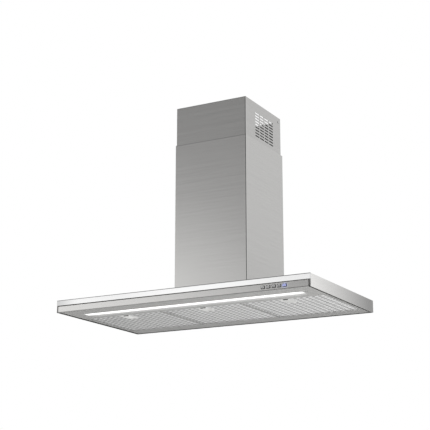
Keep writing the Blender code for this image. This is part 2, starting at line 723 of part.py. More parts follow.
def light_driver(hood, channel_top):
    length, deep, tall = DRIVER_SIZE
    top = CANOPY_TOP_INNER - FACE_GAP
    centre_y = FASCIA_FACE + FASCIA_SHEET + FASCIA_RETURN + DRIVER_FROM_STRIP + deep / 2
    bm = box(
        (-DRIVER_FROM_CENTRE - length / 2, centre_y - deep / 2, top - tall),
        (-DRIVER_FROM_CENTRE + length / 2, centre_y + deep / 2, top),
    )
    bevel_edges(bm, 1.5 * MM, 1, lambda middle, run: abs(run.z) > 0.9)
    hood.add("light_driver", bm, hood.black)
    start = Vector((-DRIVER_FROM_CENTRE + length / 2 + FACE_GAP, centre_y, top - tall / 2))
    end = Vector((start.x + 70 * MM, LIGHT_Y, channel_top + 1.2 * MM))
    route = [
        start, start + Vector((14 * MM, 0, 0)), start + Vector((36 * MM, 10 * MM, -1 * MM)),
        end + Vector((0, -12 * MM, 8 * MM)), end + Vector((0, 0, 6 * MM)), end,
    ]
    cable(hood, "light_cable", route, LIGHT_CABLE)


def cable(hood, name, route, diameter):
    """A round cable along a smooth curve through the route's points."""
    points = smooth_route(route, diameter * 2.5)
    curve = bpy.data.curves.new(name, "CURVE")
    curve.dimensions = "3D"
    curve.bevel_depth = diameter / 2
    curve.bevel_resolution = 2
    curve.use_fill_caps = True
    spline = curve.splines.new("POLY")
    spline.points.add(len(points) - 1)
    for slot, point in zip(spline.points, points, strict=True):
        slot.co = (*point, 1)
    obj = bpy.data.objects.new(name, curve)
    curve.materials.append(hood.cable)
    obj.parent = hood.root
    bpy.context.collection.objects.link(obj)


def smooth_route(route, step):
    """Points a step apart on a Catmull-Rom curve through the route."""
    line = [route[0] * 2 - route[1], *route, route[-1] * 2 - route[-2]]
    fine = []
    for i in range(1, len(line) - 2):
        a, b, c, d = line[i - 1:i + 3]
        for k in range(16):
            t = k / 16
            linear = (c - a) * t
            square = (2 * a - 5 * b + 4 * c - d) * t ** 2
            cubic = (3 * b - a - 3 * c + d) * t ** 3
            fine.append((2 * b + linear + square + cubic) / 2)
    fine.append(route[-1])
    length = sum((q - p).length for p, q in zip(fine, fine[1:], strict=False))
    count = max(2, round(length / step))
    spaced, walked, wanted = [fine[0]], 0.0, length / count
    for p, q in zip(fine, fine[1:], strict=False):
        run = (q - p).length
        while walked + run >= wanted and len(spaced) < count:
            spaced.append(p.lerp(q, (wanted - walked) / run))
            wanted += length / count
        walked += run
    spaced.append(fine[-1])
    return spaced


# Grease filters


def filters(hood):
    for i, side in enumerate(FILTER_NAMES):
        x = (i - (len(FILTER_NAMES) - 1) / 2) * FILTER_PITCH
        hinge = hood.empty(f"filter_{side}_hinge", (x, FILTER_REAR, HINGE_LEVEL))
        grease_filter(hood, side, hinge)


def grease_filter(hood, side, hinge):
    """One filter, in the frame of its hinge: the hinge line is at the lower rear edge."""
    half = FILTER_WIDTH / 2
    front = FILTER_FRONT - FILTER_REAR
    low = FILTER_LOW - HINGE_LEVEL
    high = FILTER_HIGH - HINGE_LEVEL
    over = 5 * MM
    outside = box((-half, front, low), (half, 0, high))
    frame = hood.add(f"filter_frame_{side}", outside, hood.aluminium, parent=hinge)
    lip, wall, lip_sheet = FILTER_LIP, FILTER_SHEET, FILTER_LIP_SHEET
    opening = box((-half + lip, front + lip, low - over), (half - lip, -lip, high + over))
    hood.cut(frame, opening)
    groove = box((-half + wall, front + wall, low + lip_sheet), (half - wall, -wall, high - lip_sheet))
    hood.cut(frame, groove)
    hook_low = PANEL_TOP + FACE_GAP - HINGE_LEVEL
    hooks = [
        box(
            (x - HOOK_WIDTH / 2, -wall / 2, hook_low),
            (x + HOOK_WIDTH / 2, HOOK_REACH, hook_low + HOOK_SHEET),
        )
        for x in (-HOOK_SPREAD, HOOK_SPREAD)
    ]
    hood.join(frame, merged(*hooks))
    latch_low = low + LATCH_LEVEL
    slot_half = LATCH_WIDTH / 2 + LATCH_SLOT_GAP
    hood.cut(frame, box(
        (-slot_half, front - over, latch_low - LATCH_SLOT_GAP),
        (slot_half, front + wall + 1 * MM, latch_low + LATCH_SHEET + LATCH_SLOT_GAP),
    ))

    mesh_low = MESH_LOW - HINGE_LEVEL
    mesh_high = MESH_HIGH - HINGE_LEVEL
    edge = wall + FACE_GAP
    mesh = hood.add(
        f"filter_mesh_{side}",
        box((-half + edge, front + edge, mesh_low), (half - edge, -edge, mesh_high)),
        hood.aluminium, parent=hinge,
    )
    cup_half = HANDLE_WIDTH / 2
    cup_front = front + HANDLE_FROM_FRONT
    cup_rear = cup_front + HANDLE_DEPTH
    hood.cut(mesh, box((-cup_half, cup_front, mesh_low - over), (cup_half, cup_rear, mesh_high + over)))

    cup_low = mesh_low - FACE_GAP - HANDLE_FLANGE_SHEET
    cup_high = cup_low + HANDLE_TALL
    outer_half = cup_half - FACE_GAP
    outer_front = cup_front + FACE_GAP
    outer_rear = cup_rear - FACE_GAP
    bm = box((-outer_half, outer_front, cup_low), (outer_half, outer_rear, cup_high))
    handle = hood.add(f"filter_handle_{side}", bm, hood.aluminium, parent=hinge)
    flange = box(
        (-outer_half - HANDLE_FLANGE, outer_front - HANDLE_FLANGE, cup_low),
        (outer_half + HANDLE_FLANGE, outer_rear + HANDLE_FLANGE, cup_low + HANDLE_FLANGE_SHEET),
    )
    hood.join(handle, flange)
    sheet = HANDLE_SHEET
    hood.cut(handle, box(
        (-outer_half + sheet, outer_front + sheet, cup_low - over),
        (outer_half - sheet, outer_rear - sheet, cup_high - sheet),
    ))
    hood.cut(handle, box(
        (-slot_half, outer_front - over, latch_low - LATCH_SLOT_GAP),
        (slot_half, outer_front + sheet + 1 * MM, latch_low + LATCH_SHEET + LATCH_SLOT_GAP),
    ))

    tip = BAY_FRONT + LATCH_SHORT - FILTER_REAR
    back = outer_front + sheet + LATCH_REACH
    tab_low = latch_low - LATCH_TAB
    outline = [
        (tip, latch_low), (back - LATCH_SHEET, latch_low), (back - LATCH_SHEET, tab_low),
        (back, tab_low), (back, latch_low + LATCH_SHEET), (tip, latch_low + LATCH_SHEET),
    ]
    at = (0, back, latch_low)
    hood.add(
        f"filter_latch_{side}",
        prism(outline, "X", -LATCH_WIDTH / 2, LATCH_WIDTH / 2), hood.black, at=at, parent=hinge,
    )


# Flue covers


def screw(hood, name, side, wall_x, y, z, parent=None):
    """A pan-head screw that goes in from the side: its head rests on the sheet at wall_x."""
    head = wall_x + side * FACE_GAP
    profile = [
        (0, -SCREW_LENGTH), (SCREW_SHANK, -SCREW_LENGTH), (SCREW_SHANK, 0), (SCREW_HEAD, 0),
        (SCREW_HEAD, SCREW_HEAD_TALL * 0.5), (SCREW_HEAD * 0.6, SCREW_HEAD_TALL), (0, SCREW_HEAD_TALL),
    ]
    bm = lathe([(r, side * h) for r, h in profile], "X", 12)
    hood.add(name, shifted(bm, (head, y, z)), hood.bright, at=(head, y, z), parent=parent, smooth=40)


def side_holes(y, z, reach):
    return prism(circle(SCREW_HOLE, (y, z), 12), "X", -reach, reach)


def lower_flue(hood):
    half = LOWER_WIDTH / 2
    path = [
        (-half + LOWER_RETURN, 0), (-half, 0), (-half, LOWER_FRONT), (half, LOWER_FRONT), (half, 0),
        (half - LOWER_RETURN, 0),
    ]
    sheet = prism(bent_sheet(path, FLUE_SHEET, FLUE_BEND), "Z", FLUE_LOW, LOWER_TOP)
    cover = hood.add("lower_flue", sheet, hood.steel, smooth=40)
    foot_low = FLUE_LOW
    screw_y = -FOOT_FROM_WALL - FOOT_LENGTH / 2
    screw_z = foot_low + FOOT_LEG * 0.6
    hood.cut(cover, side_holes(screw_y, screw_z, half + 10 * MM))
    outer = half - FLUE_SHEET - FACE_GAP
    for side, name in ((-1, "left"), (1, "right")):
        tip = side * (outer - FOOT_LEG)
        web = side * (outer - FOOT_SHEET)
        legs = [
            (tip, foot_low + FOOT_SHEET), (tip, foot_low), (side * outer, foot_low),
            (side * outer, foot_low + FOOT_LEG), (web, foot_low + FOOT_LEG), (web, foot_low + FOOT_SHEET),
        ]
        angle = prism(legs, "Y", -FOOT_FROM_WALL - FOOT_LENGTH, -FOOT_FROM_WALL)
        foot = hood.add(f"flue_foot_{name}", angle, hood.zinc)
        hood.cut(foot, side_holes(screw_y, screw_z, half + 10 * MM))
        screw(hood, f"flue_screw_{name}", side, side * half, screw_y, screw_z)


def upper_flue(hood):
    half = UPPER_WIDTH / 2
    holder = hood.empty("upper_flue_slide", (0, 0, UPPER_TOP))
    path = [(-half, -UPPER_REAR), (-half, UPPER_FRONT), (half, UPPER_FRONT), (half, -UPPER_REAR)]
    cover = hood.add(
        "upper_flue", prism(bent_sheet(path, FLUE_SHEET, FLUE_BEND), "Z", -UPPER_LENGTH, 0),
        hood.steel, parent=holder, smooth=40,
    )
    reach = half + 10 * MM
    slots = []
    for column in range(SLOT_COLUMNS):
        y = -SLOTS_FROM_WALL + (column - (SLOT_COLUMNS - 1) / 2) * SLOT_COLUMN_PITCH
        for row in range(SLOT_ROWS):
            z = -SLOTS_BELOW_TOP - row * SLOT_ROW_PITCH
            outline = cut_corners(SLOT_LENGTH / 2, SLOT_HEIGHT / 2, SLOT_CORNER, (y, z))
            slots.append(prism(outline, "X", -reach, reach))
    ear_y = -BRACKET_STEP - BRACKET_EAR / 2
    screw_z = -UPPER_BRACKET_BELOW - 10 * MM
    hood.cut(cover, merged(*slots, side_holes(ear_y, screw_z, reach)))

    ear = UPPER_INNER - FACE_GAP
    web = LOWER_WIDTH / 2 - LOWER_RETURN - 4 * MM
    sheet = UPPER_BRACKET_SHEET
    path = [
        (-ear, -BRACKET_STEP - BRACKET_EAR), (-ear, -BRACKET_STEP), (-web, -BRACKET_STEP), (-web, 0),
        (web, 0), (web, -BRACKET_STEP), (ear, -BRACKET_STEP), (ear, -BRACKET_STEP - BRACKET_EAR),
    ]
    outline = bent_sheet(path[::-1], sheet, sheet + 0.6 * MM, 2)
    plate = prism(outline, "Z", -UPPER_BRACKET_BELOW - UPPER_BRACKET_TALL, -UPPER_BRACKET_BELOW)
    bracket = hood.add("upper_bracket", plate, hood.paint, parent=holder)
    hood.cut(bracket, side_holes(ear_y, screw_z, reach))
    for side, name in ((-1, "left"), (1, "right")):
        screw(hood, f"bracket_screw_{name}", side, side * half, ear_y, screw_z, holder)


# Blower box and wall rail


def blower_box(hood):
    low = CANOPY_HEIGHT + FACE_GAP
    outside = box((-BOX_HALF, BOX_FRONT, low), (BOX_HALF, BOX_REAR, BOX_TOP))
    shell = hood.add("blower_box", outside, hood.zinc)
    over = 5 * MM
    sheet = BOX_SHEET
    hood.cut(shell, box(
        (-BOX_HALF + sheet, BOX_FRONT + sheet, low + sheet),
        (BOX_HALF - sheet, BOX_REAR - sheet, BOX_TOP - sheet),
    ))
    flange = BOX_FLANGE
    hood.cut(shell, box(
        (-BOX_HALF + flange, BOX_FRONT + flange, low - over),
        (BOX_HALF - flange, BOX_REAR - flange, low + over),
    ))
    through = (BOX_TOP - over, BOX_TOP + over)
    collar_hole = prism(circle(COLLAR_RADIUS + COLLAR_PLUG_GAP, (0, COLLAR_Y)), "Z", *through)
    gland_hole = prism(circle(GLAND_RADIUS + FACE_GAP, gland_place(), 20), "Z", *through)
    hood.cut(shell, merged(collar_hole, gland_hole))
    level = HANG_LEVEL
    slots = [
        box(
            (x - HANG_WIDTH / 2 - 3 * MM, BOX_REAR - over, level - HANG_SLOT_DROP),
            (x + HANG_WIDTH / 2 + 3 * MM, BOX_REAR + over, level + FACE_GAP),
        )
        for x in (-HANG_SPREAD, HANG_SPREAD)
    ]
    hood.cut(shell, merged(*slots))


def wall_rail(hood):
    """Steel rail on the wall; the box's rear slots drop over its two hooks."""
    high = BOX_TOP - RAIL_TOP_BELOW_BOX
    plate = box((-RAIL_WIDTH / 2, -RAIL_SHEET, high - RAIL_TALL), (RAIL_WIDTH / 2, 0, high))
    rail = hood.add("wall_rail", plate, hood.zinc)
    level = HANG_LEVEL
    behind = BOX_REAR - BOX_SHEET - HANG_BEHIND_WALL
    lip_front = behind - RAIL_SHEET
    outline = [
        (-RAIL_SHEET / 2, level - RAIL_SHEET), (-RAIL_SHEET / 2, level), (behind, level),
        (behind, level + HANG_LIP), (lip_front, level + HANG_LIP), (lip_front, level - RAIL_SHEET),
    ]
    half = HANG_WIDTH / 2
    hooks = [prism(outline, "X", x - half, x + half) for x in (-HANG_SPREAD, HANG_SPREAD)]
    hood.join(rail, merged(*hooks))
    holes = [
        prism(circle(RAIL_SCREW_HOLE, (x, level), 14), "Y", -10 * MM, 10 * MM)
        for x in (-RAIL_SCREW_SPREAD, RAIL_SCREW_SPREAD)
    ]
    hood.cut(rail, merged(*holes))


def gland_place():
    return (BOX_HALF - GLAND_FROM_SIDE, -GLAND_FROM_WALL)


def cord_gland(hood):
    x, y = gland_place()
    profile = [
        (GLAND_BORE, -GLAND_TALL), (GLAND_RADIUS, -GLAND_TALL),
        (GLAND_RADIUS, FACE_GAP), (GLAND_FLANGE, FACE_GAP),
        (GLAND_FLANGE, 3 * MM), (GLAND_RADIUS, 4 * MM),
        (GLAND_RADIUS * 0.85, GLAND_TALL), (GLAND_BORE, GLAND_TALL),
    ]
    at = (x, y, BOX_TOP)
    hood.add("cord_gland", shifted(lathe(profile, "Z", 20), at), hood.black, at=at, smooth=40)


# Collar and flaps


def outlet_collar(hood):
    seat = COLLAR_SEAT
    flange_top = seat + COLLAR_FLANGE_THICK
    top = seat + COLLAR_TALL
    ledge = COLLAR_INNER - LEDGE_REACH
    profile = [
        (COLLAR_INNER, seat - COLLAR_BELOW), (COLLAR_RADIUS, seat - COLLAR_BELOW), (COLLAR_RADIUS, seat),
        (COLLAR_RADIUS + COLLAR_FLANGE, seat), (COLLAR_RADIUS + COLLAR_FLANGE, flange_top),
        (COLLAR_RADIUS, flange_top), (COLLAR_RADIUS, top), (COLLAR_INNER, top),
        (COLLAR_INNER, LEDGE_TOP), (ledge, LEDGE_TOP), (ledge, LEDGE_TOP - LEDGE_THICK),
        (COLLAR_INNER, LEDGE_TOP - LEDGE_THICK),
    ]
    at = (0, COLLAR_Y, 0)
    collar = hood.add("outlet_collar", shifted(lathe(profile, "Z"), at), hood.black, at=at, smooth=40)
    reach = COLLAR_INNER + COLLAR_WALL / 3
    hood.join(collar, box(
        (-BAR_HALF, COLLAR_Y - reach, LEDGE_TOP - LEDGE_THICK), (BAR_HALF, COLLAR_Y + reach, LEDGE_TOP),
    ))
    holes = [
        prism(
            circle(AXLE_RADIUS + RUNNING_GAP, (side * FLAP_AXIS, FLAP_LEVEL), 12), "Y",
            COLLAR_Y - COLLAR_RADIUS - 5 * MM, COLLAR_Y + COLLAR_RADIUS + 5 * MM,
        )
        for side in (-1, 1)
    ]
    hood.cut(collar, merged(*holes))
    for side, name in ((-1, "left"), (1, "right")):
        flap(hood, side, name)


def flap(hood, side, name):
    """Half-round flap with its axle, in the frame of the axle."""
    radius = COLLAR_INNER - FLAP_EDGE_GAP
    steps = 20
    start = math.acos(FLAP_AXIS / radius)
    rim = []
    for i in range(steps + 1):
        turn = -start + 2 * start * i / steps
        rim.append((side * (radius * math.cos(turn) - FLAP_AXIS), radius * math.sin(turn)))
    at = (side * FLAP_AXIS, COLLAR_Y, FLAP_LEVEL)
    holder = hood.empty(f"flap_{name}_axle", at)
    plate = prism(rim, "Z", -FLAP_THICK / 2, FLAP_THICK / 2)
    piece = hood.add(f"flap_{name}", plate, hood.grey, parent=holder)
    reach = COLLAR_INNER + AXLE_IN_WALL
    hood.join(piece, prism(circle(AXLE_RADIUS, (0, 0), 12), "Y", -reach, reach))


# Blower


def casing_outline(inset, neck_top):
    """Spiral round the wheel that opens into a straight neck; inset moves it inwards."""
    neck_rear = AXIS_Y - OUTLET_RADIUS + NECK_WIDTH - inset
    cutoff = CUTOFF_RADIUS - inset
    start = math.asin((neck_rear - AXIS_Y) / cutoff)
    end = math.radians(270)
    steps = 30
    points = [(neck_rear, neck_top)]
    for i in range(steps + 1):
        turn = start + (end - start) * i / steps
        radius = cutoff + SCROLL_GROWTH * (turn - start) / (end - start)
        points.append((AXIS_Y + radius * math.sin(turn), AXIS_Z + radius * math.cos(turn)))
    points.append((AXIS_Y - OUTLET_RADIUS + inset, neck_top))
    return points


def scroll_casing(hood):
    at = (0, AXIS_Y, AXIS_Z)
    outer = prism(casing_outline(0, CASING_TOP), "X", -CASING_HALF, CASING_HALF)
    casing = hood.add("scroll_casing", outer, hood.zinc, at=at, smooth=40)
    over = 10 * MM
    inner = CASING_HALF - CASING_WALL
    hood.cut(casing, prism(casing_outline(CASING_WALL, CASING_TOP + over), "X", -inner, inner))
    eye = circle(INLET_RADIUS, (AXIS_Y, AXIS_Z))
    hood.cut(casing, prism(eye, "X", -CASING_HALF - over, CASING_HALF + over))


def inlet_mouths(hood):
    """Flared rings round the two inlets."""
    seat = CASING_HALF + FACE_GAP
    inner = INLET_RADIUS - FACE_GAP - MOUTH_WALL
    profile = [
        (inner, seat - CASING_WALL), (inner + MOUTH_WALL, seat - CASING_WALL), (inner + MOUTH_WALL, seat),
        (inner + MOUTH_FLARE, seat), (inner + MOUTH_FLARE, seat + MOUTH_WALL),
        (inner + 2.5 * MM, seat + MOUTH_WALL + 1 * MM), (inner, seat + MOUTH_WALL),
    ]
    at = (0, AXIS_Y, AXIS_Z)
    for side, name in ((-1, "left"), (1, "right")):
        ring = lathe([(r, side * x) for r, x in profile], "X", 32)
        hood.add(f"inlet_mouth_{name}", shifted(ring, at), hood.black, at=at, smooth=40)


def blower_wheel(hood):
    at = (0, AXIS_Y, AXIS_Z)
    holder = hood.empty("wheel_axle", at)
    disc = WHEEL_DISC / 2
    bore = SHAFT_RADIUS + FACE_GAP
    profile = [
        (bore, -HUB_HALF), (HUB_RADIUS, -HUB_HALF), (HUB_RADIUS, -disc), (WHEEL_RADIUS, -disc),
        (WHEEL_RADIUS, disc), (HUB_RADIUS, disc), (HUB_RADIUS, HUB_HALF), (bore, HUB_HALF),
    ]
    wheel = hood.add("blower_wheel", lathe(profile, "X", 32), hood.zinc, parent=holder, smooth=40)
    inner = WHEEL_RADIUS - WHEEL_RIM
    rings = []
    for low in (-WHEEL_HALF_WIDTH, WHEEL_HALF_WIDTH - WHEEL_RING):
        high = low + WHEEL_RING
        outline = [(inner, low), (WHEEL_RADIUS, low), (WHEEL_RADIUS, high), (inner, high)]
        rings.append(lathe(outline, "X", 32))
    blades = []
    reach = WHEEL_HALF_WIDTH - WHEEL_RING / 2
    middle = WHEEL_RADIUS - WHEEL_RIM / 2
    half_chord = WHEEL_RIM / 2 * 0.8
    for i in range(BLADE_COUNT):
        turn = (i + 0.5) * math.tau / BLADE_COUNT
        slant = turn + BLADE_ANGLE
        centre = Vector((middle * math.cos(turn), middle * math.sin(turn)))
        along = Vector((math.cos(slant), math.sin(slant))) * half_chord
        across = Vector((-math.sin(slant), math.cos(slant))) * BLADE_THICK / 2
        corners = [
            centre - along - across, centre + along - across,
            centre + along + across, centre - along + across,
        ]
        blades.append(prism([tuple(corner) for corner in corners], "X", -reach, reach))
    hood.join(wheel, merged(*blades))
    hood.join(wheel, merged(*rings))
    shaft_end = HUB_HALF + 4 * MM
    shaft = prism(circle(SHAFT_RADIUS, (0, 0), 20), "X", MOTOR_INNER - SHAFT_IN_MOTOR, shaft_end)
    hood.add("motor_shaft", shaft, hood.bright, parent=holder, smooth=40)


def motor(hood):
    at = (0, AXIS_Y, AXIS_Z)
    bore = SHAFT_RADIUS + RUNNING_GAP
    bore_end = MOTOR_INNER - SHAFT_IN_MOTOR - 1 * MM
    shoulder = 5 * MM
    profile = [
        (0, MOTOR_OUTER), (MOTOR_RADIUS - shoulder, MOTOR_OUTER), (MOTOR_RADIUS, MOTOR_OUTER + shoulder),
        (MOTOR_RADIUS, MOTOR_INNER - shoulder), (MOTOR_RADIUS - shoulder, MOTOR_INNER - 2 * MM),
        (HUB_RADIUS, MOTOR_INNER - 2 * MM), (bore, MOTOR_INNER - 2 * MM), (bore, bore_end), (0, bore_end),
    ]
    hood.add("fan_motor", shifted(lathe(profile, "X"), at), hood.winding, at=at, smooth=40)
    back = MOTOR_OUTER - FACE_GAP
    reach = INLET_RADIUS + SPIDER_REACH
    seat = -CASING_HALF - FACE_GAP
    hub = shifted(prism(circle(SPIDER_HUB), "X", back - SPIDER_THICK, back), at)
    spider = hood.add("motor_spider", hub, hood.zinc, at=at)
    arms = []
    for i in range(SPIDER_ARMS):
        turn = math.radians(-90) + i * math.tau / SPIDER_ARMS
        run = Vector((math.cos(turn), math.sin(turn)))
        across = Vector((-run.y, run.x)) * SPIDER_ARM / 2
        for inner, start, end in (
            (SPIDER_HUB - 6 * MM, back - SPIDER_THICK, back),
            (reach - SPIDER_ARM, back - SPIDER_THICK / 2, seat),
        ):
            corners = [
                run * inner - across, run * reach - across,
                run * reach + across, run * inner + across,
            ]
            arms.append(shifted(prism([tuple(corner) for corner in corners], "X", start, end), at))
    for arm in arms:
        hood.join(spider, arm)


def electronics(hood):
    high_x = BOX_HALF - BOX_SHEET - FACE_GAP
    low_x = CASING_HALF + ELECTRONICS_GAP
    front = BOX_FRONT + BOX_SHEET + FACE_GAP
    top = BOX_TOP - BOX_SHEET - FACE_GAP
    lid = ELECTRONICS_LID
    rear = front + ELECTRONICS_DEPTH
    bm = box((low_x + lid + FACE_GAP, front, top - ELECTRONICS_TALL), (high_x, rear, top))
    bevel_edges(bm, 1.5 * MM, 1, lambda middle, run: abs(run.x) > 0.9)
    hood.add("electronics_box", bm, hood.grey)
    bm = box((low_x, front, top - ELECTRONICS_TALL), (low_x + lid, rear, top))
    bevel_edges(bm, 1.5 * MM, 1, lambda middle, run: abs(run.x) > 0.9)
    hood.add("electronics_lid", bm, hood.grey)
    radius = CAPACITOR_RADIUS
    x = -(BOX_HALF - BOX_SHEET - 1 * MM - radius)
    low, high = CAPACITOR_LEVEL, CAPACITOR_LEVEL + CAPACITOR_TALL
    profile = [
        (0, low), (radius - 1.5 * MM, low), (radius, low + 1.5 * MM),
        (radius, high - 3 * MM), (radius - 3 * MM, high), (0, high),
    ]
    at = (x, -CAPACITOR_FROM_WALL, 0)
    hood.add("motor_capacitor", shifted(lathe(profile, "Z", 24), at), hood.grey, at=at, smooth=40)
    end_x = (low_x + lid + high_x) / 2
    end_y = front + ELECTRONICS_DEPTH / 2
    board_back = BOARD_FRONT + BOARD_THICK + FACE_GAP
    roof = CANOPY_TOP_INNER - CONTROL_CABLE
    start = Vector((key_x(3), board_back, KEY_LEVEL))
    rise = Vector((min(end_x, AIR_HALF - 9 * MM), end_y, 0))
    route = [
        start, start + Vector((0, 12 * MM, 1 * MM)), start + Vector((-8 * MM, 36 * MM, 12 * MM)),
        Vector((start.x - 40 * MM, LIGHT_Y + 20 * MM, roof - 6 * MM)),
        Vector((rise.x + 90 * MM, end_y - 60 * MM, roof - 3 * MM)),
        rise + Vector((30 * MM, -14 * MM, roof - 5 * MM)), rise + Vector((-1 * MM, 0, roof + 1 * MM)),
        rise + Vector((-2 * MM, 0, CANOPY_HEIGHT + 40 * MM)),
        Vector((end_x, end_y, top - ELECTRONICS_TALL - 30 * MM)),
        Vector((end_x, end_y, top - ELECTRONICS_TALL - 1 * MM)),
    ]
    cable(hood, "control_cable", route, CONTROL_CABLE)


def main():
    clear_scene()
    hood = Hood()
    canopy_shell(hood)
    underside_panel(hood)
    control_fascia(hood)
    fascia_clips(hood)
    key_guide(hood)
    keys(hood)
    channel_top = light(hood)
    light_driver(hood, channel_top)
    filters(hood)
    lower_flue(hood)
    upper_flue(hood)
    blower_box(hood)
    wall_rail(hood)
    cord_gland(hood)
    outlet_collar(hood)
    scroll_casing(hood)
    inlet_mouths(hood)
    blower_wheel(hood)
    motor(hood)
    electronics(hood)


main()
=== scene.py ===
# Wall chimney range hood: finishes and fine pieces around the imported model.
import json
import math

import bmesh
import bpy
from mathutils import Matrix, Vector


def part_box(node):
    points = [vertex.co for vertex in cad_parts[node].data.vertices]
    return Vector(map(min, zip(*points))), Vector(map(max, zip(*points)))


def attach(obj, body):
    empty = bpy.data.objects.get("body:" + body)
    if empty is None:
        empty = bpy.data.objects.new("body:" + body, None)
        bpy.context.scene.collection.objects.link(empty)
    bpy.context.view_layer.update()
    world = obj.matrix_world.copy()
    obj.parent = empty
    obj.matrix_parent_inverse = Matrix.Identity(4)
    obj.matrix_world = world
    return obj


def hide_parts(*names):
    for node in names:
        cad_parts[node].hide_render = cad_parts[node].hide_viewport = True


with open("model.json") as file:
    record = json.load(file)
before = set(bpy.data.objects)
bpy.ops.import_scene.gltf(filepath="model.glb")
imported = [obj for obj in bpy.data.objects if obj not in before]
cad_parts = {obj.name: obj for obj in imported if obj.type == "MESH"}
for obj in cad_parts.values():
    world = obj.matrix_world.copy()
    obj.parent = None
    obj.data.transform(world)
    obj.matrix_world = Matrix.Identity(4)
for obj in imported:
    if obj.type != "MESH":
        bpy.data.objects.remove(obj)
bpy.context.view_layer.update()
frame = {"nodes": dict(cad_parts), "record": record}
mm = 0.001
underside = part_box("canopy_shell")[0][2]  # every height below is measured from here
print("frame loaded:", len(frame["nodes"]), "nodes")


class Wire:
    # a socket in a shader; sums and products on it become Math nodes
    def __init__(self, tree, socket):
        self.tree = tree
        self.socket = socket

    def math(self, operation, first, second=0.0):
        made = self.tree.nodes.new("ShaderNodeMath")
        made.operation = operation
        plug(self.tree, made.inputs[0], first)
        plug(self.tree, made.inputs[1], second)
        return Wire(self.tree, made.outputs[0])

    def __add__(self, other):
        return self.math("ADD", self, other)

    def __radd__(self, other):
        return self.math("ADD", other, self)

    def __sub__(self, other):
        return self.math("SUBTRACT", self, other)

    def __rsub__(self, other):
        return self.math("SUBTRACT", other, self)

    def __mul__(self, other):
        return self.math("MULTIPLY", self, other)

    def __rmul__(self, other):
        return self.math("MULTIPLY", other, self)

    def __gt__(self, other):
        return self.math("GREATER_THAN", self, other)

    def __lt__(self, other):
        return self.math("LESS_THAN", self, other)

    def __abs__(self):
        return self.math("ABSOLUTE", self)


def plug(tree, socket, value):
    if isinstance(value, Wire):
        tree.links.new(value.socket, socket)
    elif isinstance(value, tuple) and len(value) == 3 and socket.type == "RGBA":
        socket.default_value = (*value, 1.0)
    else:
        socket.default_value = value


class Finish:
    # a material and the nodes it is made of
    def __init__(self, name, owner=None):
        self.material = owner or bpy.data.materials.new(name)
        self.material.use_nodes = True
        self.tree = self.material.node_tree
        self.surface = self.tree.nodes.get("Principled BSDF")

    def node(self, kind, settings=None, sockets=None, out=0):
        made = self.tree.nodes.new("ShaderNode" + kind)
        for key, value in (settings or {}).items():
            if key == "stops":
                ramp = made.color_ramp
                while len(ramp.elements) < len(value):
                    ramp.elements.new(0.5)
                for element, (place, tone) in zip(ramp.elements, value):
                    element.position = place
                    element.color = (tone, tone, tone, 1.0)
            else:
                setattr(made, key, value)
        for key, value in (sockets or {}).items():
            plug(self.tree, made.inputs[key], value)
        return Wire(self.tree, made.outputs[out])

    def place(self):
        return self.node("TexCoord", out=3)

    def normal(self):
        return self.node("NewGeometry", out=1)

    def grey(self, value):  # one number on all three channels
        return self.node("CombineXYZ", {}, {0: value, 1: value, 2: value})

    def scaled(self, vector, by):
        return self.node("VectorMath", {"operation": "MULTIPLY"}, {0: vector, 1: by})

    def axis(self, vector, index):
        return self.node("SeparateXYZ", {}, {0: vector}, out=index)

    def axes(self, vector):
        return (self.axis(vector, index) for index in range(3))

    def facing(self, index):  # how far the surface faces along an axis, either way
        return abs(self.axis(self.normal(), index))

    def noise(self, vector, scale, detail=4.0, roughness=0.55):
        sockets = {"Vector": vector, "Scale": scale, "Detail": detail, "Roughness": roughness}
        return self.node("TexNoise", {}, sockets)

    def ramp(self, value, low, high, lowTone=0.0, highTone=1.0, smooth=True):
        settings = {"interpolation_type": "SMOOTHSTEP" if smooth else "LINEAR"}
        return self.node("MapRange", settings, {0: value, 1: low, 2: high, 3: lowTone, 4: highTone})

    def blend(self, factor, first, second):
        return self.node("Mix", {"data_type": "RGBA"}, {0: factor, 6: first, 7: second}, out=2)

    def blendVectors(self, factor, first, second):
        return self.node("Mix", {"data_type": "VECTOR"}, {0: factor, 4: first, 5: second}, out=1)

    def bump(self, height, distance, strength=1.0):
        sockets = {"Height": height, "Distance": distance, "Strength": strength}
        self.wear(Normal=self.node("Bump", {}, sockets))

    def glow(self, colour, strength=1.0):
        self.wear(Emission_Color=colour, Emission_Strength=strength)

    def wear(self, **sockets):  # values or links on the surface's own sockets
        for key, value in sockets.items():
            plug(self.tree, self.surface.inputs[key.replace("_", " ")], value)


steelLook = {
    "tone": (0.603, 0.598, 0.588),
    "roughness": 0.20,
    "grainDepth": 0.000012,
    "linesPerMetre": 420.0,
    "lineStretch": 3.0,
    "contrast": 0.04,
    "fineScale": 3.0, "broadScale": 0.55,
    "fineShare": 0.65,  # of the grain, the rest is broad
    "smudgeScale": 5.0,
    "grainRoughness": 0.10, "smudgeRoughness": 0.03,
}


